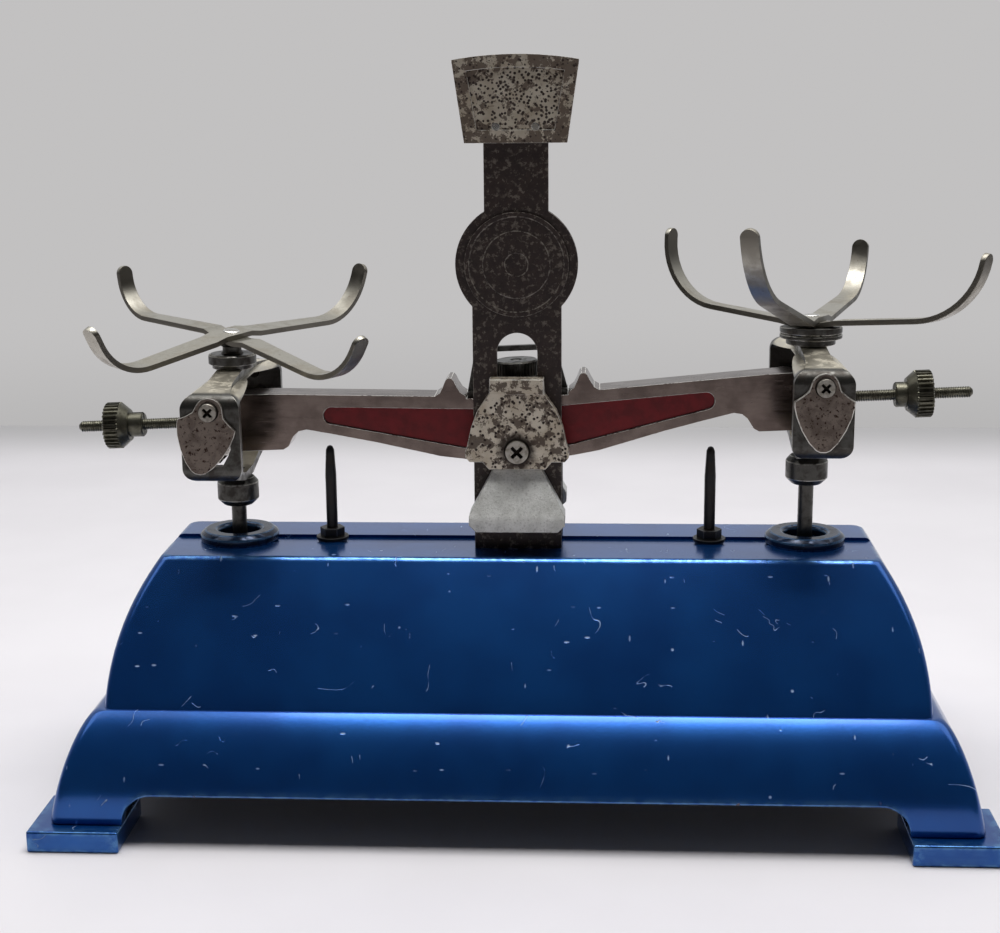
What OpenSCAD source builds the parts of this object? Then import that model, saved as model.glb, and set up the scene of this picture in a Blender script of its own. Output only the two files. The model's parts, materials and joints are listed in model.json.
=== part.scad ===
// Two-pan table balance of the Roberval kind, as it stands without its pans.
// Millimetres, +Z up. The origin is the middle of the footprint, on the surface it stands on.
// +X runs to the right arm, +Y to the side where the dial is read, -Y to the badge side.
// The beam and the pieces on it are drawn level and then turned by rest_tilt, the resting pose.

/* [Base] */
// overall length over the four feet
base_length = 240; // [232:1:248]
// overall depth over the four feet
base_depth = 124; // [120:1:130]
// height of the top of the base
base_height = 64; // [62:0.5:65]
// thickness of the casting, measured level
base_wall = 4; // [3:0.5:5]
// height of the arches between the feet
arch_height = 13; // [10:0.5:16]
// length of a foot plate along X
foot_length = 23; // [18:1:28]
// length of a foot plate along Y
foot_depth = 22.5; // [18:0.5:26]
// thickness of a foot plate
foot_height = 5.5; // [4:0.5:7]

/* [Beam] */
// distance from the centre knife-edge to either end knife-edge
arm_length = 76.5; // [75:0.5:78]
// height of the three knife-edges with the beam level
pivot_height = 98; // [97.5:0.5:98.5]
// thickness of the beam along Y
beam_thickness = 9.6; // [8:0.2:10]
// depth of the enamelled recesses
recess_depth = 1.2; // [0.8:0.1:2]
// resting tilt in degrees, left side down
rest_tilt = 2.4; // [0:0.1:4]
// length of the end knife-edges along Y
end_knife_length = 58.8; // [58:0.2:58.8]
// length of the centre knife-edge along Y
centre_knife_length = 23.4; // [22:0.2:23.6]

/* [Adjusters] */
// diameter of the threaded adjusting rods
rod_diameter = 3; // [2.5:0.1:3.5]
// distance from the middle to the tip of an adjusting rod
rod_reach = 119; // [115:0.5:120]
// outside diameter of the knurled balance nuts
nut_diameter = 12.5; // [11:0.5:14]
// distance from the middle to the outer face of the left balance nut
left_nut_reach = 111.3; // [104:0.1:118]
// distance from the middle to the outer face of the right balance nut
right_nut_reach = 108.3; // [104:0.1:118]
// diameter of the sensitivity nut
sensitivity_nut_diameter = 11.4; // [9:0.2:12]
// height of the underside of the sensitivity nut, beam level
sensitivity_nut_height = 109; // [106:0.1:111]

/* [Column] */
// width of the lower part of the column plates
column_width = 23; // [20:0.5:24]
// thickness of the column plates
plate_thickness = 2.6; // [2:0.1:3]
// distance from the middle plane to the outer face of a column plate
plate_face = 9; // [8.8:0.1:9.2]
// diameter of the round shield on the front plate
roundel_diameter = 31.5; // [28:0.5:34]
// height of the middle of the round shield
roundel_height = 139.4; // [138:0.2:141]
// width of the strip between the round shield and the dial
strip_width = 16.4; // [14:0.2:18]
// height of the underside of the dial
dial_bottom = 170; // [168:0.5:172]
// width of the dial at its top corners
dial_top_width = 31.8; // [28:0.2:34]
// height of the top of the dial at its middle
dial_top = 191.8; // [190:0.2:194]

/* [Carriers] */
// width of the carrier plates along X
carrier_width = 15.1; // [14:0.1:16]
// distance from the middle plane to the outer face of a carrier plate
carrier_reach = 30; // [29.6:0.1:30.4]
// thickness of the carrier strip
carrier_thickness = 2.2; // [1.8:0.1:2.6]
// height of the lower edge of the carrier plates, beam level
carrier_bottom = 89.6; // [89:0.1:90]
// height of the upper edge of the carrier plates, beam level
carrier_top = 112.3; // [112:0.1:113]
// diameter of the guide rod below a carrier
guide_rod_diameter = 4; // [3.5:0.1:4.5]
// height of the lower guide beam's pivots
stay_height = 28; // [26:0.5:32]
// turn of the left shield about its screw, degrees
left_shield_turn = -12; // [-20:1:20]
// turn of the right shield about its screw, degrees
right_shield_turn = 0; // [-20:1:20]

/* [Pan supports] */
// thickness of the strip the crossed bars are bent from
bar_thickness = 1.4; // [1.2:0.1:1.6]
// width of a bar at the middle
bar_width = 6.6; // [6:0.1:7]
// width of a bar at its tips
bar_tip_width = 4.4; // [4:0.1:6]
// directions of the two left bars, degrees from +X
left_bar_turns = [57, 141];
// directions of the two right bars, degrees from +X
right_bar_turns = [66, 143];
// lean of the left cross about X and Y, degrees
left_lean = [7.1, 4.5];
// lean of the right cross about X and Y, degrees
right_lean = [-3.1, 0];

/* [Hidden] */
$fn = 64;

LEFT = -1;
RIGHT = 1;
FRONT = -1;
REAR = 1;
eps = 0.01;          // how far a cutter runs past the face it cuts
knife_gap = 0.03;    // clearance between a knife-edge and the root of its bearing
turn_gap = 0.05;     // radial clearance of a pin or stem that turns in its hole
seat_gap = 0.15;     // clearance between faces that turn on each other

// Base outline: half sizes at the top, at the ledge and at the foot plates.
ledge_height = 30.8;
top_half = [94, 18];
ledge_half = [104.3, 43.7];
lip_half = [104.9, 44.5];
skirt_half = [base_length / 2 - 4.4, base_depth / 2 - 4.2];
roof_thickness = 4;
groove_width = 8;
groove_depth = 0.8;
upper_bend = [2.4, 1.15]; // how sharply the upper tier curves along X and Y
lower_end_bend = 0.47;    // how sharply the lower tier's ends curve
shoulder_bend = 2.5;      // roundness of the lower tier's long shoulders
tier_steps = 10;

// Fittings on the base.
collar_diameter = 21.3;
collar_bore = 11;
collar_height = 3;
stop_pin_x = 51;
stop_pin_diameter = 3;
stop_pin_top = 90;
stop_pin_stem = 9;   // length below the top of the base
washer_thickness = 1;

// Column.
bearing_width = 12;
bearing_bottom = 94.5;
bearing_top = 105.5;
cover_face = 13;
cover_skin = 0.8;
cover_screw_height = 91.3;
rear_plate_top = 111;
foot_block_top = 84;
bolt_height = 75;
bolt_head_diameter = 6.4;

// Beam and knife-edges.
knife_half = 1.9;
knife_height = 3.3;
block_end = 84;      // half length of the beam casting
rod_height = 99.9;
pointer_foot_z = 104.2;
pointer_foot_height = 1.4;
pointer_half_foot = 13.2;
pointer_apex = 163.6;
crossbar_z = 115.8;      // underside of the pointer's crossbar
crossbar_height = 1.4;
sensitivity_stud_top = 113.2;
sensitivity_nut_thickness = 4.4;
left_wheel = 6.3;        // thickness of the left balance nut's wheel
right_wheel = 6.5;
nut_cone = 2.4;          // length of the cone on a balance nut's inner side
hub_radius = 3.3;

// Carriers, in their own frame: x from the knife-edge, z with the beam level.
window_half = 5;
window_top = 104;
window_sides = [[window_half, window_top], [window_half, 98.4], [4.4, 97], [2.75, 94.1]];
shield_screw_height = 108.3;
strap_top = 114.4;   // top of the upper strap at its middle
strap_bottom = 84.6; // underside of the lower strap at its middle
strap_neck = 3.4;    // half width of the straps at their necks
stem_radius = 2.1;
rod_nut_bottom = 77;
eye_radius = 4;

// Seats and hubs of the pan supports: [radius, height] steps from below.
left_seat = [[5.4, strap_top], [5.4, 115.6], [6.35, 115.6], [6.35, 118], [5.9, 118.3]];
right_seat = [[6.4, strap_top], [6.4, 115.9]];
left_hub = [[3, 118.3 + seat_gap], [2.5, 119], [2.5, 120.1], [3.8, 120.9]];
right_hub = [[8.1, 115.9 + seat_gap], [8.1, 117.1], [7.6, 117.3], [8.1, 117.5], [8.1, 118.2]];
left_cross_height = 122.8;
right_cross_height = 120.3;

// The two arms of each bar, as they have been bent:
// [slope, bend start, bend radius, bend end angle, tip length].
left_upper_arms = [[-4.9, 35.7, 14.6, 74, 3.6], [-4.6, 30.7, 15.9, 63.1, 5]];
left_lower_arms = [[-6.2, 35.1, 11.1, 77.1, 3.6], [-4.5, 32, 16.8, 66.4, 4.1]];
right_upper_arms = [[8.5, 31.9, 16.4, 81.1, 2.1], [14.9, 33.9, 23.3, 75.2, 2.1]];
right_lower_arms = [[6.7, 29.6, 16.8, 93.8, 3], [4.1, 30.5, 18.5, 80, 2]];
bend_steps = 12;
joggle_start = 4.5;
joggle_end = 8;

dark_iron = [0.12, 0.11, 0.11];
nickel = [0.66, 0.64, 0.59];
gunmetal = [0.2, 0.2, 0.2];
enamel_blue = [0.05, 0.17, 0.38];

// ---------- shared helpers ----------

// Places what hangs on the beam: drawn level, shown at the resting tilt.
module on_beam() {
    translate([0, 0, pivot_height]) rotate([0, -rest_tilt, 0]) translate([0, 0, -pivot_height])
        children();
}

// Places what a carrier carries: drawn around x = 0 with the beam level.
module on_carrier(side) {
    translate([side * arm_length * cos(rest_tilt), 0, side * arm_length * sin(rest_tilt)])
        children();
}

// Extrudes an XZ outline symmetrically along Y.
module slab_y(length) {
    rotate([90, 0, 0]) linear_extrude(length, center = true) children();
}

// Extrudes an XZ outline from y0 to y1.
module sheet_y(y0, y1) {
    translate([0, y1, 0]) rotate([90, 0, 0]) linear_extrude(y1 - y0) children();
}

// Extrudes a YZ outline symmetrically along X.
module slab_x(length) {
    rotate([90, 0, 90]) linear_extrude(length, center = true) children();
}

// A round bar along Y, centred.
module rod_y(r, length) {
    rotate([90, 0, 0]) cylinder(r = r, h = length, center = true);
}

// A round bar along X from x0 to x1.
module rod_x(r, x0, x1) {
    translate([x0, 0, 0]) rotate([0, 90, 0]) cylinder(r = r, h = x1 - x0);
}

// Turns a list of [radius, height] steps about Z.
module turned(steps) {
    low = steps[0][1];
    high = steps[len(steps) - 1][1];
    rotate_extrude() polygon(concat([[0, low]], steps, [[0, high]]));
}

// A mirrored outline: the points on the +X side, from the top down.
function both_sides(points) = concat(
    points,
    [for (i = [len(points) - 1 : -1 : 0]) [-points[i][0], points[i][1]]]
);

// A machine screw head with a cross recess, its axis along -Y at the origin.
module cross_head(r, height) {
    difference() {
        rotate([90, 0, 0]) cylinder(r1 = r, r2 = r * 0.86, h = height);
        for (turn = [45, 135])
            rotate([0, turn, 0]) translate([-r * 0.55, -height - eps, -r * 0.13])
                cube([r * 1.1, height * 0.75, r * 0.26]);
    }
}

// ---------- base ----------

// Half size of the casting at height z, along X (axis 0) or Y (axis 1).
function upper_half(axis, z) =
    let (rise = max(0, (z - ledge_height) / (base_height - ledge_height)))
    ledge_half[axis] - (ledge_half[axis] - top_half[axis]) * pow(rise, upper_bend[axis]);
function lower_half(axis, z) =
    let (drop = min(1, max(0, (ledge_height - z) / (ledge_height - foot_height))))
    let (share = axis == 0 ? pow(drop, lower_end_bend) : 1 - pow(1 - drop, shoulder_bend))
    lip_half[axis] + (skirt_half[axis] - lip_half[axis]) * share;

// One side of the outline, from the roof down to the bottom, moved in by inset.
function tier_side(axis, inset, roof, bottom) = concat(
    [for (i = [0 : tier_steps])
        let (z = roof + (ledge_height - roof) * i / tier_steps)
        [upper_half(axis, z) - inset, z]],
    [for (i = [0 : tier_steps])
        let (z = ledge_height - (ledge_height - foot_height) * pow(i / tier_steps, 2))
        [lower_half(axis, z) - inset, z - eps]],
    [[skirt_half[axis] - inset, bottom]]
);

module tier_body(inset, roof, bottom) {
    intersection() {
        slab_y(base_depth * 2) polygon(both_sides(tier_side(0, inset, roof, bottom)));
        slab_x(base_length * 2) polygon(both_sides(tier_side(1, inset, roof, bottom)));
    }
}

// An arch with round upper corners that runs right through the skirt.
module arch(half_span, r) {
    hull() {
        for (x = [-half_span + r, half_span - r]) translate([x, arch_height - r]) circle(r);
        translate([-half_span, -1]) square([2 * half_span, 1]);
    }
}

module base_casting() {
    color(enamel_blue) difference() {
        union() {
            difference() {
                tier_body(0, base_height, foot_height);
                tier_body(base_wall, base_height - roof_thickness, -1);
                slab_y(base_depth * 2) arch(base_length / 2 - foot_length, 7);
                slab_x(base_length * 2) arch(base_depth / 2 - foot_depth, 7);
            }
            for (sx = [-1, 1], sy = [-1, 1])
                translate([sx * (base_length - foot_length) / 2,
                           sy * (base_depth - foot_depth) / 2, foot_height / 2])
                    cube([foot_length, foot_depth, foot_height], center = true);
        }
        translate([0, 0, base_height]) cube([base_length, groove_width, 2 * groove_depth], center = true);
        for (side = [LEFT, RIGHT]) {
            translate([side * arm_length, 0, base_height - 10]) cylinder(d = collar_bore, h = 20);
            translate([side * stop_pin_x, 0, base_height - 10])
                cylinder(d = stop_pin_diameter, h = 20);
        }
        for (side = [LEFT, RIGHT]) translate([side * 5, 0, base_height - 10]) cylinder(r = 1.5, h = 20);
    }
}

// Bevelled rings that line the holes of the guide rods.
module rod_collars() {
    color([0.07, 0.09, 0.13]) for (side = [LEFT, RIGHT])
        translate([side * arm_length, 0, 0]) rotate_extrude() polygon([
            [collar_bore / 2, base_height],
            [collar_diameter / 2, base_height],
            [collar_diameter / 2, base_height + collar_height - 1.2],
            [collar_diameter / 2 - 1.4, base_height + collar_height],
            [collar_bore / 2 + 0.8, base_height + collar_height],
            [collar_bore / 2, base_height + collar_height - 0.8],
        ]);
}

module stop_pins() {
    r = stop_pin_diameter / 2;
    color([0.06, 0.06, 0.06]) for (side = [LEFT, RIGHT])
        translate([side * stop_pin_x, 0, 0]) turned([
            [r, base_height - stop_pin_stem], [r, stop_pin_top - 8],
            [r * 0.75, stop_pin_top - 1.2], [r * 0.45, stop_pin_top - 0.2], [0.1, stop_pin_top],
        ]);
}

module stop_pin_nuts() {
    color([0.06, 0.06, 0.06]) for (side = [LEFT, RIGHT])
        translate([side * stop_pin_x, 0, base_height + washer_thickness]) difference() {
            cylinder(d = 6.8, h = 2.4, $fn = 6);
            translate([0, 0, -1]) cylinder(d = stop_pin_diameter, h = 5);
        }
}

module stop_pin_washers() {
    color([0.06, 0.06, 0.06]) for (side = [LEFT, RIGHT])
        translate([side * stop_pin_x, 0, base_height]) difference() {
            union() {
                cylinder(d = 8.7, h = washer_thickness);
                translate([0, 0, -groove_depth]) intersection() {
                    cylinder(d = 7.8, h = groove_depth);
                    cube([8.7, groove_width, 3], center = true);
                }
            }
            translate([0, 0, -2]) cylinder(d = stop_pin_diameter, h = 5);
        }
}

// Fork under the roof that holds the middle of the lower guide beam.
module stay_bracket() {
    roof = base_height - roof_thickness;
    color(gunmetal) difference() {
        translate([-7, -7, stay_height - 6]) cube([14, 14, roof - stay_height + 6]);
        translate([-8, -4.6, stay_height - 7]) cube([16, 9.2, roof - stay_height + 1]);
        translate([0, 0, stay_height]) rod_y(2, 20);
        for (side = [LEFT, RIGHT]) translate([side * 5, 0, roof - 8]) cylinder(r = 3, h = 6.6);
        for (side = [LEFT, RIGHT]) translate([side * 5, 0, roof - 8]) cylinder(r = 1.5, h = 12);
    }
}

module stay_pivot_pin() {
    color(nickel) translate([0, 0, stay_height]) rod_y(2, 15.4);
}

// ---------- column ----------

module plate_outline(top) {
    translate([-column_width / 2, base_height]) square([column_width, top - base_height]);
}

module bearing_opening() {
    translate([-bearing_width / 2, bearing_bottom])
        square([bearing_width, bearing_top - bearing_bottom]);
}

// Round-topped sight window above the bearing cover.
module sight_window() {
    r = 5.25;
    translate([0, 121.75 - r]) circle(r);
    translate([-r, 108]) square([2 * r, 121.75 - r - 108]);
}

module column_plate() {
    color(dark_iron) sheet_y(-plate_face, -plate_face + plate_thickness) difference() {
        union() {
            plate_outline(roundel_height - 8);
            translate([0, roundel_height]) circle(d = roundel_diameter);
            translate([-strip_width / 2, roundel_height])
                square([strip_width, dial_bottom + 8 - roundel_height]);
        }
        bearing_opening();
        sight_window();
        translate([0, cover_screw_height]) circle(1.75);
        translate([0, bolt_height]) circle(2);
        for (x = [-5, 5]) translate([x, dial_bottom + 4]) circle(1);
    }
}

module rear_plate() {
    color(dark_iron) sheet_y(plate_face - plate_thickness, plate_face) difference() {
        union() {
            plate_outline(rear_plate_top - 4);
            translate([-column_width / 2 + 4, rear_plate_top - 8]) square([column_width - 8, 8]);
            for (x = [-1, 1]) translate([x * (column_width / 2 - 4), rear_plate_top - 4]) circle(4);
        }
        bearing_opening();
        translate([0, cover_screw_height]) circle(1.75);
        translate([0, bolt_height]) circle(2);
    }
}

// Block between the two plates, screwed to the base from inside.
module column_foot_block() {
    inner = 2 * (plate_face - plate_thickness);
    color(gunmetal) difference() {
        union() {
            translate([-9, -inner / 2, base_height]) cube([18, inner, foot_block_top - base_height]);
            translate([-9, -groove_width / 2, base_height - groove_depth])
                cube([18, groove_width, groove_depth]);
        }
        translate([0, 0, bolt_height]) rod_y(2, 40);
        for (x = [-5, 5]) translate([x, 0, base_height - 2]) cylinder(r = 1.5, h = 10);
    }
}

module foot_block_screws() {
    roof = base_height - roof_thickness;
    color(nickel) for (x = [-5, 5]) translate([x, 0, 0]) turned([
        [2.6, roof - 1.4 - 2], [2.6, roof - 1.4], [1.5, roof - 1.4], [1.5, base_height + 8],
    ]);
}

module column_bolt() {
    color(nickel) translate([0, 0, bolt_height]) {
        rod_y(2, 2 * plate_face + 2);
        for (side = [FRONT, REAR])
            translate([0, side * (plate_face + 1.1), 0]) rod_y(bolt_head_diameter / 2, 2.2);
    }
}

// Flared foot of the column: narrow under the bearing cover, wide and proud at its lip.
module apron(side) {
    face = plate_face;
    mirror([0, side == REAR ? 1 : 0, 0]) difference() {
        hull() {
            translate([-6.5, -11, 85.4]) cube([13, 11 - face, 0.6]);
            translate([-12.5, -17, 74.2]) cube([25, 17 - face, 0.6]);
            translate([-12.5, -17.3, 72.4]) cube([25, 17.3 - face, 0.6]);
            translate([-10.6, -17.3, 70.6]) cube([21.2, 17.3 - face, 0.6]);
        }
        translate([0, -face - 1.35, bolt_height]) rod_y(bolt_head_diameter / 2 + 0.3, 2.7 + eps);
        translate([-9, -14.6, 69]) cube([18, 14.6 - face + eps, 3.6]);
    }
}

module front_apron() {
    color([0.72, 0.71, 0.68]) apron(FRONT);
}

module rear_apron() {
    color([0.72, 0.71, 0.68]) apron(REAR);
}

// Hardened blocks with an upward V for the centre knife-edge.
module centre_bearings() {
    depth = cover_face - cover_skin - 0.2 - (plate_face - plate_thickness);
    color(nickel) for (side = [FRONT, REAR])
        translate([0, side * (plate_face - plate_thickness + depth / 2), 0]) slab_y(depth)
            difference() {
                translate([-bearing_width / 2, bearing_bottom])
                    square([bearing_width, pivot_height + 3 - bearing_bottom]);
                polygon([[0, pivot_height - knife_gap], [6.1, pivot_height + 5], [-6.1, pivot_height + 5]]);
            }
}

// Cap over a centre bearing, with two ears beside the beam's lower edge.
module bearing_cover(side) {
    outline = both_sides([
        [7, 110.3], [7.2, 106.3], [10.4, 101.6], [11.9, 97.6], [12.9, 93], [13.5, 91.2],
        [13.5, 89.7], [12.4, 88.4], [9, 88.4], [7.4, 86.5],
    ]);
    mirror([0, side == REAR ? 1 : 0, 0]) difference() {
        union() {
            sheet_y(-cover_face, -plate_face) difference() {
                polygon(outline);
                translate([0, cover_screw_height]) circle(1.75);
            }
            sheet_y(-cover_face - 0.5, -cover_face) translate([-6.9, 106.4]) square([13.8, 3.8]);
        }
        sheet_y(-cover_face + cover_skin, -plate_face + eps) bearing_opening();
    }
}

module front_bearing_cover() {
    color([0.5, 0.45, 0.38]) bearing_cover(FRONT);
}

module rear_bearing_cover() {
    color([0.5, 0.45, 0.38]) bearing_cover(REAR);
}

module bearing_cover_screws() {
    inner = plate_face - plate_thickness;
    color(nickel) for (side = [FRONT, REAR]) mirror([0, side == REAR ? 1 : 0, 0]) {
        translate([0, -cover_face, cover_screw_height]) cross_head(3.45, 1.6);
        translate([0, (-cover_face - inner) / 2, cover_screw_height])
            rod_y(1.75, cover_face - inner);
    }
}

// Outline of the dial: straight flanks and a top edge struck from the knife-edge.
module dial_outline(margin) {
    radius = dial_top - pivot_height - margin;
    bottom_half = 13 - margin;
    top_half_width = dial_top_width / 2 - margin;
    intersection() {
        polygon([
            [-bottom_half, dial_bottom + margin], [bottom_half, dial_bottom + margin],
            [top_half_width, dial_top - 1.8], [top_half_width, dial_top + 2],
            [-top_half_width, dial_top + 2], [-top_half_width, dial_top - 1.8],
        ]);
        translate([0, pivot_height]) circle(radius, $fn = 256);
    }
}

module dial_plate() {
    lap = 0.9;
    color(nickel) difference() {
        sheet_y(-plate_face - lap, -plate_face + plate_thickness) dial_outline(0);
        sheet_y(-plate_face - lap - eps, -plate_face - lap + 0.5) dial_outline(3.2);
        sheet_y(-plate_face, 0) translate([-strip_width / 2, dial_bottom - 1])
            square([strip_width, 9]);
        for (x = [-5, 5]) translate([x, 0, dial_bottom + 4]) rod_y(1, 40);
    }
}

module dial_rivets() {
    color(nickel) for (x = [-5, 5]) translate([x, 0, dial_bottom + 4]) {
        sheet_y(-plate_face - 0.4, -plate_face + plate_thickness + 0.4) circle(1);
        sheet_y(-plate_face + plate_thickness, -plate_face + plate_thickness + 0.5) circle(1.7);
    }
}

// Plain turned disc on the round shield.
module badge_disc() {
    color([0.1, 0.09, 0.09]) translate([0, -plate_face, roundel_height]) rotate([90, 0, 0])
        difference() {
            cylinder(r = 13.4, h = 0.8);
            translate([0, 0, 0.5]) difference() {
                cylinder(r = 12.2, h = 1);
                translate([0, 0, -1]) cylinder(r = 8.6, h = 3);
            }
            translate([0, 0, 0.5]) cylinder(r = 3, h = 1);
        }
}

// ---------- beam ----------

// One horn of the beam's upper edge, as offsets from its foot.
horn_points = [
    [4.1, 0.2], [2.7, 1], [1.8, 2.6], [1.1, 4.2], [0.5, 4.85],
    [-0.5, 4.85], [-1.1, 4.2], [-1.8, 2.6], [-2.7, 1], [-4.1, 0],
];
horn_x = 17.65;
horn_z = 105;

module beam_outline() {
    side = concat(
        [[block_end, 94], [block_end, 104.8], [block_end - 3, 107.9], [65, 107.5]],
        [for (p = horn_points) [horn_x + p[0], horn_z + p[1]]],
        [[horn_x - 4.2, pointer_foot_z]]
    );
    low_side = [
        [block_end - 1.6, 92.4], [63, 92.4], [61.6, 93.2], [60, 96], [58.6, 97.2], [56.5, 97.6],
        [50, 96.2], [37.8, 93.4], [28.5, 91], [21, 89], [14, 87.9], [8, 87.5],
    ];
    polygon(concat(
        side,
        [for (i = [len(side) - 1 : -1 : 0]) [-side[i][0], side[i][1]]],
        [for (p = low_side) [-p[0], p[1]]],
        [for (i = [len(low_side) - 1 : -1 : 0]) low_side[i]]
    ));
}

// Tapered panel with a round far end, one for each arm and face.
module panel_outline(margin) {
    far_r = 2.3 - margin;
    hull() {
        translate([49.4, 101.1]) circle(far_r);
        translate([8 + margin, 90.1 + margin]) square([0.1, 11.1 - 2 * margin]);
        translate([14, 90.9 + margin]) square([0.1, 10.6 - 2 * margin]);
    }
}

module beam_casting() {
    color([0.36, 0.33, 0.31]) on_beam() difference() {
        slab_y(beam_thickness) beam_outline();
        for (side = [LEFT, RIGHT], face = [FRONT, REAR])
            mirror([side == LEFT ? 1 : 0, 0, 0]) mirror([0, face == REAR ? 1 : 0, 0])
                sheet_y(-beam_thickness / 2 - eps, -beam_thickness / 2 + recess_depth)
                    panel_outline(0);
        slab_y(beam_thickness * 2) knife_outline(-1);
        for (side = [LEFT, RIGHT]) translate([side * arm_length, 0, 0])
            slab_y(beam_thickness * 2) knife_outline(1);
        for (side = [LEFT, RIGHT]) translate([side * 6.5, 0, pointer_foot_z - 1.8])
            cylinder(r = 0.8, h = 3);
        translate([0, 0, rod_height]) {
            rod_x(rod_diameter / 2, block_end - 4, block_end + 1);
            rod_x(rod_diameter / 2, -block_end - 1, -block_end + 4);
        }
    }
}

module beam_enamel_panels() {
    face_y = beam_thickness / 2 - recess_depth;
    color([0.32, 0.05, 0.06]) on_beam() for (side = [LEFT, RIGHT], face = [FRONT, REAR])
        mirror([side == LEFT ? 1 : 0, 0, 0]) mirror([0, face == REAR ? 1 : 0, 0])
            sheet_y(-face_y - 0.5, -face_y) panel_outline(0.1);
}

// Triangular knife-edge section with its edge on the pivot height.
// way is 1 for an edge that points up and -1 for one that points down.
module knife_outline(way) {
    polygon([
        [0, pivot_height], [-knife_half, pivot_height - way * knife_height],
        [knife_half, pivot_height - way * knife_height],
    ]);
}

module centre_knife_edge() {
    color(nickel) on_beam() slab_y(centre_knife_length) knife_outline(-1);
}

module end_knife_edges() {
    color(nickel) on_beam() for (side = [LEFT, RIGHT]) translate([side * arm_length, 0, 0])
        slab_y(end_knife_length) knife_outline(1);
}

// A-shaped pointer that stands on the beam and leans towards the dial.
module pointer() {
    foot_top = pointer_foot_z + pointer_foot_height;
    leg = 2.4;
    apex = pointer_apex;
    half_foot = pointer_half_foot;
    slope = half_foot / (apex - foot_top);
    bar_top = crossbar_z + crossbar_height;
    color(dark_iron) on_beam() {
        difference() {
            union() {
                translate([-half_foot, -3, pointer_foot_z]) cube([2 * half_foot, 6, pointer_foot_height]);
                slab_y(1.6) difference() {
                    polygon([[-half_foot, foot_top - eps], [half_foot, foot_top - eps], [0, apex]]);
                    polygon([
                        [-half_foot + leg, foot_top], [half_foot - leg, foot_top],
                        [half_foot - leg - slope * (crossbar_z - foot_top), crossbar_z],
                        [-half_foot + leg + slope * (crossbar_z - foot_top), crossbar_z],
                    ]);
                    polygon([
                        [-half_foot + leg + slope * (bar_top - foot_top), bar_top],
                        [half_foot - leg - slope * (bar_top - foot_top), bar_top],
                        [0, apex - leg / slope],
                    ]);
                }
            }
            for (side = [LEFT, RIGHT]) translate([side * 6.5, 0, pointer_foot_z - 1])
                cylinder(r = 0.8, h = 5);
        }
        hull() {
            translate([-0.9, -0.8, 152]) cube([1.8, 1.6, 1]);
            translate([-0.35, -5.2, 186]) cube([0.7, 0.8, 1]);
        }
    }
}

module pointer_screws() {
    seat = pointer_foot_z + pointer_foot_height;
    color(nickel) on_beam() for (side = [LEFT, RIGHT]) translate([side * 6.5, 0, 0]) turned([
        [0.8, pointer_foot_z - 1.8], [0.8, seat], [1.5, seat], [1.5, seat + 0.9], [1.1, seat + 1.2],
    ]);
}

module sensitivity_stud() {
    foot_top = pointer_foot_z + pointer_foot_height;
    color(nickel) on_beam() turned([[1.5, foot_top], [1.5, sensitivity_stud_top]]);
}

module sensitivity_nut() {
    r = sensitivity_nut_diameter / 2;
    z = sensitivity_nut_height;
    top = z + sensitivity_nut_thickness;
    color(nickel) on_beam() difference() {
        turned([[r - 0.4, z], [r, z + 0.4], [r, top - 0.4], [r - 0.4, top]]);
        translate([0, 0, z - 1]) cylinder(r = 1.5 + turn_gap, h = sensitivity_nut_thickness + 2);
    }
}

module adjusting_rods() {
    r = rod_diameter / 2;
    color(gunmetal) on_beam() translate([0, 0, rod_height]) {
        rod_x(r, block_end - 4, rod_reach);
        rod_x(r, -rod_reach, -block_end + 4);
    }
}

// Knurled nut with a coned inner face and a slit hub; drawn for the right end.
module balance_nut(reach, wheel, hub_length) {
    r = nut_diameter / 2;
    translate([0, 0, rod_height]) difference() {
        translate([reach, 0, 0]) rotate([0, 90, 0]) turned([
            [hub_radius, -wheel - hub_length], [hub_radius, -wheel], [hub_radius + 0.9, -wheel],
            [r, nut_cone - wheel], [r, -0.5], [r - 0.5, 0],
        ]);
        rod_x(rod_diameter / 2 + turn_gap, reach - 20, reach + 1);
        translate([reach - wheel - hub_length - eps, -0.4, 0]) cube([hub_length - 0.8, 0.8, 4]);
    }
}

module left_balance_nut() {
    color([0.25, 0.24, 0.2]) on_beam() mirror([1, 0, 0])
        balance_nut(left_nut_reach, left_wheel, 3.8);
}

module right_balance_nut() {
    color([0.25, 0.24, 0.2]) on_beam() balance_nut(right_nut_reach, right_wheel, 3);
}

// ---------- carriers ----------

// Closed strip loop seen along X: plates at front and rear, arched straps above and below.
module loop_outline(inset) {
    y = carrier_reach - inset;
    bend = 3.6 - inset;
    top = carrier_top - inset;
    bottom = carrier_bottom + inset;
    side = concat(
        [[5, strap_top - inset], [y - bend, top]],
        [for (a = [75 : -15 : 0]) [y - bend + bend * cos(a), top - bend + bend * sin(a)]],
        [for (a = [0 : 15 : 90]) [y - bend + bend * cos(a), bottom + bend - bend * sin(a)]],
        [[5, strap_bottom + inset]]
    );
    polygon(both_sides(side));
}

// Waisted plan of the straps.
module strap_plan() {
    side = [for (i = [0 : 8])
        let (y = 27.8 * i / 8, over = max(0, y - 14) / 13.8)
        [strap_neck + 1.7 * over * over, y]];
    edge = concat(side, [for (i = [8 : -1 : 0]) [-side[i][0], side[i][1]]]);
    for (way = [-1, 1]) scale([1, way]) polygon(edge);
}

module plate_corners() {
    r = 3.8;
    half = carrier_width / 2;
    union() {
        translate([-half, carrier_bottom + r]) square([2 * half, carrier_top - carrier_bottom - 2 * r]);
        translate([-half + r, carrier_bottom]) square([2 * (half - r), carrier_top - carrier_bottom]);
        for (x = [-half + r, half - r], z = [carrier_bottom + r, carrier_top - r])
            translate([x, z]) circle(r);
    }
}

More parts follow.
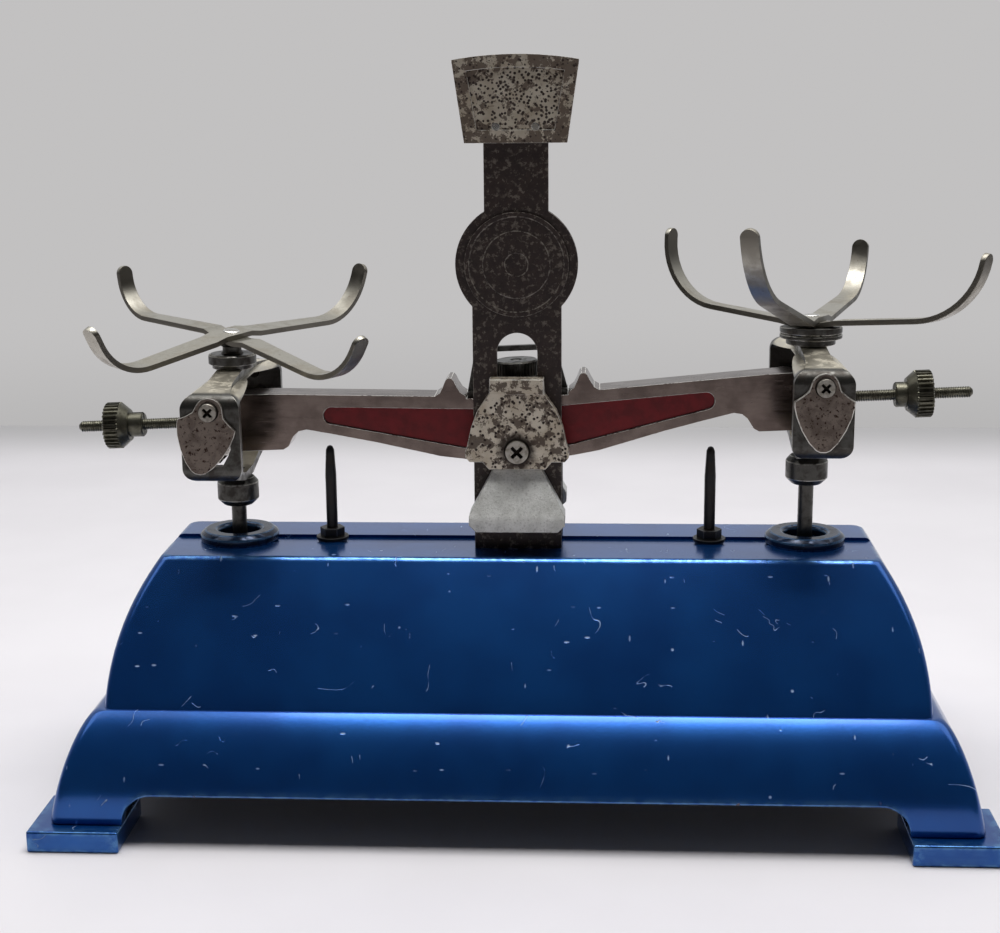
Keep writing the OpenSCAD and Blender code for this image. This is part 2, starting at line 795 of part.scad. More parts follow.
module carrier_frame() {
    difference() {
        union() {
            for (layer = [0, 1]) intersection() {
                slab_x(carrier_width + 1) difference() {
                    loop_outline(0);
                    loop_outline(carrier_thickness);
                }
                if (layer == 0) slab_y(4 * carrier_reach) plate_corners();
                else linear_extrude(200) strap_plan();
            }
        }
        slab_y(4 * carrier_reach) polygon(both_sides(window_sides));
        translate([0, 0, shield_screw_height]) rod_y(1.5, 4 * carrier_reach);
        translate([0, 0, strap_top - 5]) cylinder(r = stem_radius + turn_gap, h = 8);
        translate([0, 0, strap_bottom - 1]) cylinder(d = guide_rod_diameter, h = 6);
    }
}

// Hardened blocks with a downward V that rest on the ends of a knife-edge, held in the windows.
module carrier_bearings() {
    depth = 4.4;
    for (side = [FRONT, REAR]) translate([0, side * (carrier_reach - depth / 2), 0])
        slab_y(depth) difference() {
            polygon(both_sides([for (i = [0 : 2]) window_sides[i]]));
            polygon([[0, pivot_height + knife_gap], [5.1, pivot_height - 4.2], [-5.1, pivot_height - 4.2]]);
        }
}

// Heart-shaped keeper over a bearing window, its origin at its screw.
module shield_outline() {
    side = concat(
        [for (a = [90 : -15 : 15]) [3.55 * cos(a), 3.55 * sin(a)]],
        [[4, -0.9], [5.4, -2.1], [7.5, -3.5], [7.4, -5], [6.8, -7.6], [5.4, -11],
         [3.6, -14], [1.8, -15.9], [0.7, -16.4]]
    );
    difference() {
        polygon(both_sides(side));
        circle(1.5);
    }
}

module shields(turn) {
    for (side = [FRONT, REAR]) mirror([0, side == REAR ? 1 : 0, 0])
        translate([0, 0, shield_screw_height]) rotate([0, -turn, 0])
            sheet_y(-carrier_reach - 1.1, -carrier_reach) shield_outline();
}

module shield_screws() {
    for (side = [FRONT, REAR]) mirror([0, side == REAR ? 1 : 0, 0])
        translate([0, 0, shield_screw_height]) {
            translate([0, -carrier_reach - 1.1, 0]) cross_head(2.6, 1.4);
            translate([0, -carrier_reach + 0.85, 0]) rod_y(1.5, 3.9);
        }
}

// Rod from the lower strap down into the base, with the eye of the lower pivot.
module guide_rod() {
    difference() {
        union() {
            translate([0, 0, stay_height]) cylinder(d = guide_rod_diameter,
                h = strap_bottom + carrier_thickness - stay_height);
            translate([0, 0, stay_height]) rod_y(eye_radius, 4.2);
        }
        translate([0, 0, stay_height]) rod_y(1.5, 8);
    }
}

module rod_nut() {
    difference() {
        turned([[3.9, rod_nut_bottom], [5.55, rod_nut_bottom + 1.6], [5.55, strap_bottom - 1.4],
                [4.4, strap_bottom]]);
        translate([0, 0, rod_nut_bottom - 1]) cylinder(d = guide_rod_diameter, h = 12);
    }
}

module seat_washers(steps) {
    difference() {
        turned(steps);
        translate([0, 0, strap_top - 1]) cylinder(r = stem_radius + turn_gap, h = 8);
    }
}

module rod_pin() {
    translate([0, 0, stay_height]) rod_y(1.5, 9.6);
}

module left_carrier_frame() {
    color(gunmetal) on_carrier(LEFT) carrier_frame();
}

module right_carrier_frame() {
    color(gunmetal) on_carrier(RIGHT) carrier_frame();
}

module left_bearings() {
    color(nickel) on_carrier(LEFT) carrier_bearings();
}

module right_bearings() {
    color(nickel) on_carrier(RIGHT) carrier_bearings();
}

module left_shields() {
    color([0.36, 0.31, 0.29]) on_carrier(LEFT) shields(left_shield_turn);
}

module right_shields() {
    color([0.36, 0.31, 0.29]) on_carrier(RIGHT) shields(right_shield_turn);
}

module left_shield_screws() {
    color(nickel) on_carrier(LEFT) shield_screws();
}

module right_shield_screws() {
    color(nickel) on_carrier(RIGHT) shield_screws();
}

module left_guide_rod() {
    color(gunmetal) on_carrier(LEFT) guide_rod();
}

module right_guide_rod() {
    color(gunmetal) on_carrier(RIGHT) guide_rod();
}

module left_rod_nut() {
    color(gunmetal) on_carrier(LEFT) rod_nut();
}

module right_rod_nut() {
    color(gunmetal) on_carrier(RIGHT) rod_nut();
}

module left_seat_washers() {
    color(gunmetal) on_carrier(LEFT) seat_washers(left_seat);
}

module right_seat_washers() {
    color(gunmetal) on_carrier(RIGHT) seat_washers(right_seat);
}

module left_rod_pin() {
    color(nickel) on_carrier(LEFT) rod_pin();
}

module right_rod_pin() {
    color(nickel) on_carrier(RIGHT) rod_pin();
}

// ---------- pan supports ----------

// Middle line of one half of a bar, from the centre to the tip.
// way is 1 for the bar that passes over the crossing and -1 for the one that passes under.
function arm_line(arm, way) =
    let (slope = arm[0], start = arm[1], bend = arm[2], end = arm[3], tip = arm[4])
    let (start_z = tan(slope) * (start - joggle_end))
    let (bend_points = [for (i = [1 : bend_steps])
        let (a = slope + (end - slope) * i / bend_steps)
        [start + bend * (sin(a) - sin(slope)), start_z + bend * (cos(slope) - cos(a))]])
    let (last = bend_points[bend_steps - 1])
    concat(
        [[0, way * bar_thickness / 2], [joggle_start, way * bar_thickness / 2],
         [joggle_end, 0], [start, start_z]],
        bend_points,
        [[last[0] + tip * cos(end), last[1] + tip * sin(end)]]
    );

// Direction of the line at point i, and the normal to it.
function line_way(line, i) =
    let (a = line[max(0, i - 1)], b = line[min(len(line) - 1, i + 1)])
    (b - a) / norm(b - a);
function beside(line, i, distance) =
    let (way = line_way(line, i))
    line[i] + distance * [-way[1], way[0]];

// One arm of a bar along +X, with its tip rounded.
module bar_arm(arm, way) {
    line = arm_line(arm, way);
    count = len(line);
    half = bar_thickness / 2;
    upper = concat([[0, line[0][1] + half]], [for (i = [1 : count - 1]) beside(line, i, half)]);
    lower = concat([[0, line[0][1] - half]], [for (i = [1 : count - 1]) beside(line, i, -half)]);
    tip = line[count - 1];
    tip_r = bar_tip_width / 2 + 0.1;
    difference() {
        intersection() {
            slab_y(bar_width) polygon(concat(lower, [for (i = [count - 1 : -1 : 0]) upper[i]]));
            linear_extrude(200, center = true) polygon([
                [0, -bar_width / 2], [tip[0] + 3, -bar_tip_width / 2],
                [tip[0] + 3, bar_tip_width / 2], [0, bar_width / 2],
            ]);
        }
        translate([tip[0], 0, tip[1]]) rotate([0, -arm[3], 0]) difference() {
            translate([-tip_r, -bar_width, -2]) cube([tip_r + 1, 2 * bar_width, 4]);
            translate([-tip_r, 0, -3]) cylinder(r = tip_r, h = 6);
        }
    }
}

module bar(arms, way) {
    difference() {
        for (i = [0, 1]) rotate([0, 0, 180 * i]) bar_arm(arms[i], way);
        cylinder(r = 1.6, h = 10, center = true);
    }
}

// Places the crossed bars at the top of a hub, with their lean.
module on_cross(side) {
    lean = side == LEFT ? left_lean : right_lean;
    height = side == LEFT ? left_cross_height : right_cross_height;
    on_carrier(side) translate([0, 0, height]) rotate([lean[0], lean[1], 0]) children();
}

// Turned hub with a leaned seat for the bars and a stem down through the carrier.
module support_hub(steps, height, lean, seat_radius) {
    top = steps[len(steps) - 1][1];
    union() {
        intersection() {
            union() {
                turned(steps);
                translate([0, 0, top - eps]) cylinder(r = seat_radius, h = 4);
            }
            translate([0, 0, height]) rotate([lean[0], lean[1], 0])
                translate([0, 0, -bar_thickness - 25]) cube([60, 60, 50], center = true);
        }
        translate([0, 0, strap_top - carrier_thickness - 2])
            cylinder(r = stem_radius, h = steps[0][1] - strap_top + carrier_thickness + 2.2);
    }
}

module support_rivet() {
    turned([[1.6, -bar_thickness], [1.6, bar_thickness], [2.3, bar_thickness],
            [2, bar_thickness + 0.3], [1.1, bar_thickness + 0.5]]);
}

module retaining_ring() {
    top = strap_top - carrier_thickness - seat_gap;
    difference() {
        translate([0, 0, top - 0.9]) cylinder(r = 3.3, h = 0.9);
        translate([0, 0, top - 2]) cylinder(r = stem_radius, h = 3);
    }
}

module left_upper_bar() {
    color(nickel) on_cross(LEFT) rotate([0, 0, left_bar_turns[0]]) bar(left_upper_arms, 1);
}

module left_lower_bar() {
    color(nickel) on_cross(LEFT) rotate([0, 0, left_bar_turns[1]]) bar(left_lower_arms, -1);
}

module right_upper_bar() {
    color(nickel) on_cross(RIGHT) rotate([0, 0, right_bar_turns[0]]) bar(right_upper_arms, 1);
}

module right_lower_bar() {
    color(nickel) on_cross(RIGHT) rotate([0, 0, right_bar_turns[1]]) bar(right_lower_arms, -1);
}

module left_support_hub() {
    color(gunmetal) on_carrier(LEFT) support_hub(left_hub, left_cross_height, left_lean, 3.8);
}

module right_support_hub() {
    color(gunmetal) on_carrier(RIGHT) support_hub(right_hub, right_cross_height, right_lean, 8.1);
}

module left_support_rivet() {
    color(nickel) on_cross(LEFT) support_rivet();
}

module right_support_rivet() {
    color(nickel) on_cross(RIGHT) support_rivet();
}

module left_retaining_ring() {
    color(nickel) on_carrier(LEFT) retaining_ring();
}

module right_retaining_ring() {
    color(nickel) on_carrier(RIGHT) retaining_ring();
}

// ---------- lower guide beam ----------

module stay_bar() {
    half = 4.2;
    color(gunmetal) translate([0, 0, stay_height]) rotate([0, -rest_tilt, 0]) difference() {
        union() {
            translate([-arm_length, -half, -4]) cube([2 * arm_length, 2 * half, 8]);
            for (side = [LEFT, RIGHT]) translate([side * arm_length, 0, 0]) rod_y(4, 2 * half);
        }
        rod_y(2 + turn_gap, 20);
        for (side = [LEFT, RIGHT]) translate([side * arm_length, 0, 0]) {
            rod_y(1.5 + turn_gap, 20);
            cube([18, 4.8, 12], center = true);
        }
    }
}

base_casting();
rod_collars();
stop_pins();
stop_pin_nuts();
stop_pin_washers();
column_plate();
rear_plate();
column_foot_block();
foot_block_screws();
column_bolt();
front_apron();
rear_apron();
centre_bearings();
front_bearing_cover();
rear_bearing_cover();
bearing_cover_screws();
dial_plate();
dial_rivets();
badge_disc();
stay_bracket();
stay_pivot_pin();
beam_casting();
beam_enamel_panels();
centre_knife_edge();
end_knife_edges();
pointer();
pointer_screws();
sensitivity_stud();
adjusting_rods();
sensitivity_nut();
left_balance_nut();
right_balance_nut();
left_carrier_frame();
left_bearings();
left_shields();
left_shield_screws();
left_guide_rod();
left_rod_nut();
left_seat_washers();
left_rod_pin();
right_carrier_frame();
right_bearings();
right_shields();
right_shield_screws();
right_guide_rod();
right_rod_nut();
right_seat_washers();
right_rod_pin();
left_upper_bar();
left_lower_bar();
left_support_hub();
left_support_rivet();
left_retaining_ring();
right_upper_bar();
right_lower_bar();
right_support_hub();
right_support_rivet();
right_retaining_ring();
stay_bar();
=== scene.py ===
import json
import math

import bmesh
import bpy
from mathutils import Matrix, Vector


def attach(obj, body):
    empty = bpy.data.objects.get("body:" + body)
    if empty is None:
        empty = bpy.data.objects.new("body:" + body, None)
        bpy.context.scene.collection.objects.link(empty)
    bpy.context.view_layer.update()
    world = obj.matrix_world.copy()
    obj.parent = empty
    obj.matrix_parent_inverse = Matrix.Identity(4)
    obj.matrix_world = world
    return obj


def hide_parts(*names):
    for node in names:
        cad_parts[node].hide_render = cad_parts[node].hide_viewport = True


# Finished meshes and looks for a small two-pan table balance, in the frame of its CAD bodies.

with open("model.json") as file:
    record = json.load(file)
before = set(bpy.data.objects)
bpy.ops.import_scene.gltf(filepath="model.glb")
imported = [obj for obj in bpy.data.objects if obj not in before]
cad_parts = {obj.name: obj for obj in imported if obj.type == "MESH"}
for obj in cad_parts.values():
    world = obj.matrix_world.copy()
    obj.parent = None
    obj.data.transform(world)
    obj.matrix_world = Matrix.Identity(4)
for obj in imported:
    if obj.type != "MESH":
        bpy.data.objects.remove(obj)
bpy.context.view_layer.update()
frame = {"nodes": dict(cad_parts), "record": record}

MM = 0.001
TILT = math.radians(2.4)          # resting tilt of the beam, left side down
PIVOT_HEIGHT = 98.0               # the beam's knife-edge, in millimetres
PIVOT = Vector((0, 0, PIVOT_HEIGHT * MM))
BODY_OF = {node: body for body, nodes in frame["record"]["behaviour"]["bodies"].items() for node in nodes}
SLOT_OF = {part["node"]: part["material_slot"] for part in frame["record"]["subparts"]}
ON_BEAM = Matrix.Translation(PIVOT) @ Matrix.Rotation(-TILT, 4, "Y") @ Matrix.Translation(-PIVOT)


# ---------- camera and light ----------

CAMERA_PLACE = (0.01968, -0.44197, 0.18653)
CAMERA_PITCH, CAMERA_YAW, CAMERA_ROLL = 0.227, 0.0562, -0.0089   # in radians
LENS, SENSOR = 60.92, 36


def make_camera():
    """Camera low in front of the object, turned a little to its left and looking slightly down."""
    pitch, yaw, roll = CAMERA_PITCH, CAMERA_YAW, CAMERA_ROLL
    forward = Vector((-math.sin(yaw) * math.cos(pitch), math.cos(yaw) * math.cos(pitch), -math.sin(pitch)))
    right = Vector((math.cos(yaw), math.sin(yaw), 0))
    up = right.cross(forward)
    right_rolled = math.cos(roll) * right + math.sin(roll) * up
    up_rolled = math.cos(roll) * up - math.sin(roll) * right
    data = bpy.data.cameras.new("camera")
    data.sensor_width = SENSOR
    data.lens = LENS
    data.clip_start, data.clip_end = 0.01, 20
    cam = bpy.data.objects.new("camera", data)
    bpy.context.scene.collection.objects.link(cam)
    turn = Matrix((right_rolled, up_rolled, -forward)).transposed()
    cam.matrix_world = Matrix.Translation(CAMERA_PLACE) @ turn.to_4x4()
    bpy.context.scene.camera = cam


LAMP_AIM = Vector((0, 0, 0.05))


def area_light(name, place, size, power):
    """A rectangular lamp aimed at the middle of the object."""
    data = bpy.data.lights.new(name, "AREA")
    data.shape = "RECTANGLE"
    data.size, data.size_y = size
    data.energy = power
    lamp = bpy.data.objects.new(name, data)
    bpy.context.scene.collection.objects.link(lamp)
    lamp.location = place
    lamp.rotation_euler = (LAMP_AIM - Vector(place)).to_track_quat("-Z", "Y").to_euler()


# ---------- node helpers ----------

class Shader:
    """One procedural material around a Principled BSDF, in the object's own coordinates."""

    def __init__(self, name, **sockets):
        self.mat = bpy.data.materials.new(name)
        self.mat.use_nodes = True
        self.tree = self.mat.node_tree
        self.bsdf = self.tree.nodes["Principled BSDF"]
        for key, value in sockets.items():
            self.bsdf.inputs[key.replace("_", " ")].default_value = value
        self.coords = self.add("TexCoord").outputs["Object"]

    def add(self, kind, **settings):
        made = self.tree.nodes.new("ShaderNode" + kind)
        for key, value in settings.items():
            setattr(made, key, value)
        return made

    def feed(self, socket, value):
        if hasattr(value, "node"):
            self.tree.links.new(value, socket)
        elif isinstance(value, (tuple, list)) and len(value) == 3 and len(socket.default_value) == 4:
            socket.default_value = (*value, 1)
        else:
            socket.default_value = value

    def place(self, turn=(0, 0, 0), scale=(1, 1, 1), shift=(0, 0, 0)):
        """The coordinates turned (in degrees), scaled and shifted."""
        made = self.add("Mapping")
        self.tree.links.new(self.coords, made.inputs["Vector"])
        made.inputs["Rotation"].default_value = [math.radians(a) for a in turn]
        made.inputs["Scale"].default_value = scale
        made.inputs["Location"].default_value = shift
        return made.outputs["Vector"]

    def noise(self, size_mm, detail=2, rough=0.5, warp=0.0, where=None):
        """Noise whose features are about size_mm wide."""
        made = self.add("TexNoise")
        made.inputs["Scale"].default_value = 1000 / size_mm
        made.inputs["Detail"].default_value = detail
        made.inputs["Roughness"].default_value = rough
        made.inputs["Distortion"].default_value = warp
        self.tree.links.new(where or self.coords, made.inputs["Vector"])
        return made.outputs["Fac"]

    def cells(self, size_mm, where=None, output="Distance"):
        """Scattered cells about size_mm apart."""
        made = self.add("TexVoronoi")
        made.inputs["Scale"].default_value = 1000 / size_mm
        self.tree.links.new(where or self.coords, made.inputs["Vector"])
        return made.outputs[output]

    def step(self, value, low, high, out_low=0.0, out_high=1.0):
        """Rises smoothly from out_low to out_high as value goes from low to high."""
        made = self.add("MapRange", interpolation_type="SMOOTHSTEP")
        made.inputs["From Min"].default_value = low
        made.inputs["From Max"].default_value = high
        made.inputs["To Min"].default_value = out_low
        made.inputs["To Max"].default_value = out_high
        self.tree.links.new(value, made.inputs["Value"])
        return made.outputs["Result"]

    def math(self, operation, a, b=0.0):
        made = self.add("Math", operation=operation)
        self.feed(made.inputs[0], a)
        self.feed(made.inputs[1], b)
        return made.outputs[0]

    def mix(self, share, a, b):
        """Colour a, with share of colour b over it."""
        made = self.add("Mix", data_type="RGBA")
        colour_a, colour_b = made.inputs[6], made.inputs[7]
        self.feed(made.inputs["Factor"], share)
        self.feed(colour_a, a)
        self.feed(colour_b, b)
        return made.outputs[2]

    def attribute(self, name):
        return self.add("Attribute", attribute_name=name).outputs["Fac"]

    def worn(self, patch_mm, low, high):
        """Bare rims: the rounded edges, where a noise leaves them rubbed."""
        rubbed = self.step(self.noise(patch_mm, 3, 0.6), low, high)
        return self.math("MULTIPLY", self.attribute("rim"), rubbed)

    def near(self, point, axes=(1, 1, 1)):
        """Distance in metres from a point, each axis weighted."""
        made = self.add("VectorMath", operation="DISTANCE")
        scaled = self.add("VectorMath", operation="MULTIPLY")
        self.tree.links.new(self.coords, scaled.inputs[0])
        scaled.inputs[1].default_value = axes
        self.tree.links.new(scaled.outputs[0], made.inputs[0])
        made.inputs[1].default_value = [p * a for p, a in zip(point, axes)]
        return made.outputs["Value"]

    def along(self, axis):
        """The place along one axis (0, 1 or 2), in metres."""
        made = self.add("SeparateXYZ")
        self.tree.links.new(self.coords, made.inputs[0])
        return made.outputs[axis]

    def up_facing(self):
        """How far a face looks up: 1 for level, 0 for upright."""
        made = self.add("SeparateXYZ")
        self.tree.links.new(self.add("NewGeometry").outputs["Normal"], made.inputs[0])
        return made.outputs[2]

    def bump(self, height, depth_mm, strength, under=None):
        """A normal with relief of depth_mm, laid over the normal under."""
        made = self.add("Bump")
        made.inputs["Distance"].default_value = depth_mm * MM
        made.inputs["Strength"].default_value = strength
        self.feed(made.inputs["Height"], height)
        if under:
            self.tree.links.new(under, made.inputs["Normal"])
        return made.outputs["Normal"]

    def finish(self, colour, roughness=None, normal=None, metallic=None, coat=None):
        self.feed(self.bsdf.inputs["Base Color"], colour)
        if roughness is not None:
            self.feed(self.bsdf.inputs["Roughness"], roughness)
        if metallic is not None:
            self.feed(self.bsdf.inputs["Metallic"], metallic)
        if normal is not None:
            self.feed(self.bsdf.inputs["Normal"], normal)
        if coat is not None:
            self.feed(self.bsdf.inputs["Coat Weight"], coat)
        return self.mat


# ---------- materials ----------

STRAP_END = 27.5                  # where a carrier's straps bend down, in millimetres along Y
COVER_SCREW_FACE = 14.6           # outer face of the screw heads, in millimetres along Y
SHIELD_SCREW_FACE = 32.5
STAIN_PLACE = (0, -0.013, 0.0913)        # the front cover's screw, in metres
DIAL_MIDDLE = (0, -0.0095, 0.1805)


def flecks(s, cell_mm, stretch, turn, reach, share, seed):
    """Sparse short marks: cells pulled long in one direction, most of them left blank."""
    where = s.place(turn=turn, scale=stretch, shift=(seed, seed * 1.7, seed * 0.3))
    dot = s.step(s.cells(cell_mm, where), reach, reach * 0.4)
    pick = s.step(s.cells(cell_mm, where, output="Color"), 1 - share, 1 - share + 0.02)
    return s.math("MULTIPLY", dot, pick)


def hairline(s, size_mm, width, seed, keep_mm, keep):
    """Thin wandering line where a noise passes its middle value, shown only in a few places."""
    where = s.place(shift=(seed, seed * 0.7, -seed))
    off = s.math("ABSOLUTE", s.math("SUBTRACT", s.noise(size_mm, 1.5, 0.4, 0.6, where), 0.5))
    line = s.step(off, width, width * 0.3)
    return s.math("MULTIPLY", line, s.step(s.noise(keep_mm, 1, 0.5, 0, where), keep, keep + 0.02))


def blue_enamel():
    """Glossy blue paint with faint scratches, worn edges and chips; its inner surfaces are nearly black,
    painted shade for the dark hollow.
    """
    s = Shader("blue_enamel_paint", Coat_Roughness=0.12, Coat_IOR=1.5)
    cloud = s.noise(26, 3, 0.6)
    base = s.mix(s.step(cloud, 0.3, 0.7), (0.003, 0.062, 0.27), (0.006, 0.092, 0.36))
    orange_peel = s.noise(0.9, 2, 0.5)
    marks = s.math("MAXIMUM", flecks(s, 5.5, (1, 1, 3.4), (0, 38, 0), 0.16, 0.2, 0.31),
                   flecks(s, 7, (3.2, 1, 1), (0, -25, 10), 0.15, 0.22, 1.7))
    marks = s.math("MAXIMUM", marks, flecks(s, 3.2, (1, 1, 1), (0, 0, 0), 0.16, 0.12, 2.9))
    marks = s.math("MAXIMUM", marks, hairline(s, 17, 0.0035, 3.1, 16, 0.66))
    marks = s.math("MAXIMUM", marks, hairline(s, 6, 0.008, 7.7, 7, 0.68))
    marks = s.math("MULTIPLY", marks, s.step(s.noise(3.1, 2, 0.6), 0.34, 0.6, 0.15, 1.0))
    wear = s.math("MULTIPLY", s.attribute("wear"), s.step(s.noise(2.2, 3, 0.7), 0.36, 0.62))
    chip = s.math("MULTIPLY", s.attribute("wear"), s.step(s.noise(6.5, 3, 0.6, 0.3), 0.66, 0.7))
    colour = s.mix(s.math("MULTIPLY", marks, 0.6), base, (0.55, 0.66, 0.78))
    colour = s.mix(s.math("MULTIPLY", wear, 0.6), colour, (0.12, 0.3, 0.55))
    colour = s.mix(chip, colour, (0.16, 0.11, 0.07))
    # painted shade: the inner skin turns nearly black, standing in for the dark hollow under the casting
    hidden = s.attribute("inside")
    colour = s.mix(hidden, colour, (0.006, 0.006, 0.008))
    spoil = s.math("MAXIMUM", s.math("MAXIMUM", marks, chip), hidden)
    rough = s.step(spoil, 0, 1, 0.23, 0.75)
    metal = s.step(spoil, 0, 1, 0.72, 0.05)
    coat = s.step(spoil, 0, 1, 0.4, 0.05)
    normal = s.bump(orange_peel, 0.012, 0.5)
    normal = s.bump(s.math("SUBTRACT", 1.0, s.math("MAXIMUM", marks, chip)), 0.06, 0.6, normal)
    return s.finish(colour, rough, normal, metal, coat)


def worn_metal(name, base, dark, rim, metallic, rough, mottle_mm=3.0, bump_mm=0.02,
               rust=None, rust_share=0.7, rust_mm=1.3, strap_highlight=None, upright_shade=None):
    """Metal mottled with a darker tone, its rims worn to the rim colour.

    rust and the last two arguments are optional colours: of rust spots, of a painted highlight where the
    level straps across a carrier face up, and of painted shade on faces that stand upright.
    """
    s = Shader(name)
    patch = s.step(s.noise(mottle_mm, 5, 0.62, 0.3), 0.42, 0.66)
    fine = s.noise(0.35, 3, 0.6)
    colour = s.mix(patch, base, dark)
    colour = s.mix(s.step(fine, 0.35, 0.75, 0.0, 0.35), colour, dark)
    # painted shade: faces that stand upright turn towards the darker colour
    if upright_shade:
        level = s.math("ADD", s.math("ABSOLUTE", s.up_facing()), s.math("MULTIPLY", patch, 0.1))
        colour = s.mix(s.step(level, 0.55, 0.2), colour, upright_shade)
    # painted highlight: the carrier's level straps turn pale where they face up
    if strap_highlight:
        strap = s.step(s.math("ABSOLUTE", s.along(1)), STRAP_END * MM, (STRAP_END - 2.5) * MM)
        colour = s.mix(s.math("MULTIPLY", s.step(s.up_facing(), 0.4, 0.7), strap), colour, strap_highlight)
    if rust:
        spots = s.step(s.noise(rust_mm, 4, 0.7, 0.2), rust_share, rust_share + 0.06)
        colour = s.mix(spots, colour, rust)
    colour = s.mix(s.worn(1.6, 0.3, 0.5), colour, rim)
    roughness = s.step(patch, 0, 1, rough[0], rough[1])
    normal = s.bump(fine, bump_mm, 0.6)
    return s.finish(colour, roughness, normal, metallic)


def screw_metal(name, head_face_mm):
    """Dull screw: pale on the outer face of the heads, with painted shade darkening each head's recess
    under that face.
    """
    s = Shader(name)
    patch = s.noise(1.4, 4, 0.6)
    colour = s.mix(s.step(patch, 0.35, 0.7), (0.36, 0.34, 0.3), (0.2, 0.18, 0.15))
    height = s.math("ABSOLUTE", s.along(1))
    # painted shade: nearly black where the surface sits deeper than the head's outer face
    recess_shade = s.step(height, (head_face_mm - 0.2) * MM, (head_face_mm - 0.5) * MM)
    colour = s.mix(recess_shade, colour, (0.02, 0.016, 0.013))
    return s.finish(colour, s.step(recess_shade, 0, 1, 0.3, 0.6), s.bump(s.noise(0.4, 3, 0.6), 0.02, 0.6), 0.95)


def dark_plate():
    """Nearly black plating, freckled where it has worn through."""
    s = Shader("dark_corroded_plating")
    patch = s.noise(2.4, 5, 0.68, 0.2)
    fine = s.noise(0.45, 4, 0.7)
    freckle = s.math("MULTIPLY", s.step(s.noise(1.25, 4, 0.7), 0.53, 0.59), s.step(patch, 0.4, 0.58))
    colour = s.mix(s.step(patch, 0.3, 0.7), (0.014, 0.006, 0.004), (0.028, 0.015, 0.011))
    colour = s.mix(s.math("MULTIPLY", freckle, 0.75), colour, (0.17, 0.145, 0.12))
    colour = s.mix(s.math("MULTIPLY", s.worn(1.2, 0.42, 0.6), 0.7), colour, (0.3, 0.27, 0.23))
    rough = s.step(fine, 0.3, 0.7, 0.38, 0.62)
    return s.finish(colour, rough, s.bump(fine, 0.05, 0.7), s.step(freckle, 0, 1, 0.2, 0.4))


def pitted_nickel(name, pit_share, brown_share, stain=None, middle=None):
    """Nickel with black pits and brown mottling, browner away from middle, and a stain round a point."""
    s = Shader(name)
    pits = s.step(s.math("ADD", s.cells(0.92), s.math("MULTIPLY", s.noise(0.5, 3, 0.6), 0.34)), 0.62, 0.5)
    chosen = s.step(s.cells(0.92, output="Color"), 1 - pit_share, 1 - pit_share + 0.03)
    pits = s.math("MULTIPLY", pits, chosen)
    small = s.math("MULTIPLY", s.step(s.cells(0.6), 0.3, 0.2),
                   s.step(s.noise(4.5, 2, 0.5), 0.48, 0.6))
    pits = s.math("MAXIMUM", pits, s.math("MULTIPLY", small, pit_share))
    mottle = s.noise(3.2, 5, 0.72, 0.3)
    if middle:
        margin = s.step(s.near(middle, (1, 0, 1.45)), 0.0095, 0.015)
        mottle = s.math("ADD", mottle, s.math("MULTIPLY", margin, 0.1))
    brown = s.step(mottle, 0.62 - brown_share, 0.66 - brown_share)
    fine = s.noise(0.3, 3, 0.6)
    colour = s.mix(s.step(s.noise(5, 3, 0.5), 0.3, 0.7), (0.44, 0.375, 0.285), (0.6, 0.54, 0.44))
    colour = s.mix(s.math("MULTIPLY", brown, 0.85), colour, (0.06, 0.034, 0.021))
    spoil = pits
    if stain:
        near = s.near(stain)
        ring = s.step(s.math("ADD", near, s.math("MULTIPLY", s.noise(2.5, 4, 0.7), 0.004)), 0.0078, 0.0056)
        spoil = s.math("MAXIMUM", pits, s.math("MULTIPLY", ring, 0.9))
    colour = s.mix(spoil, colour, (0.026, 0.013, 0.008))
    colour = s.mix(s.worn(1.5, 0.35, 0.5), colour, (0.7, 0.68, 0.62))
    rough = s.step(s.math("MAXIMUM", spoil, brown), 0, 1, 0.34, 0.7)
    metal = s.step(s.math("MAXIMUM", spoil, brown), 0, 1, 0.5, 0.15)
    normal = s.bump(fine, 0.015, 0.5)
    normal = s.bump(s.math("SUBTRACT", 1.0, spoil), 0.12, 0.7, normal)
    return s.finish(colour, rough, normal, metal)


def cast_alloy():
    """Pale cast metal with a coarse grain and dirty rims."""
    s = Shader("grainy_cast_alloy")
    grain = s.noise(0.55, 4, 0.75)
    cloud = s.noise(4.2, 3, 0.6)
    colour = s.mix(s.step(cloud, 0.3, 0.7), (0.56, 0.56, 0.53), (0.74, 0.74, 0.71))
    colour = s.mix(s.step(grain, 0.5, 0.7, 0, 0.6), colour, (0.24, 0.23, 0.21))
    colour = s.mix(s.math("MULTIPLY", s.worn(1.5, 0.4, 0.55), 0.6), colour, (0.22, 0.2, 0.17))
    return s.finish(colour, s.step(grain, 0.3, 0.7, 0.36, 0.6), s.bump(grain, 0.2, 0.9), 0.2)


def beam_metal():
    """Brownish nickel brushed along the beam, bright on its edges: partly rubbed bare, partly a painted
    highlight.
    """
    s = Shader("worn_beam_nickel")
    brushed = s.noise(1.0, 4, 0.6, 0, s.place(scale=(0.12, 1, 1)))
    cloud = s.noise(7, 4, 0.6)
    colour = s.mix(s.step(cloud, 0.32, 0.68), (0.2, 0.158, 0.138), (0.13, 0.1, 0.088))
    colour = s.mix(s.step(s.noise(0.7, 4, 0.7), 0.62, 0.7, 0, 0.5), colour, (0.12, 0.09, 0.07))
    # the pale rim colour is partly worn bare metal and partly a painted highlight on the edges and recess
    # lips
    worn = s.worn(1.8, 0.3, 0.48)
    colour = s.mix(worn, colour, (0.92, 0.89, 0.82))
    rough = s.step(brushed, 0.3, 0.7, 0.16, 0.28)
    return s.finish(colour, rough, s.bump(brushed, 0.012, 0.5), s.step(worn, 0, 1, 1.0, 0.3))


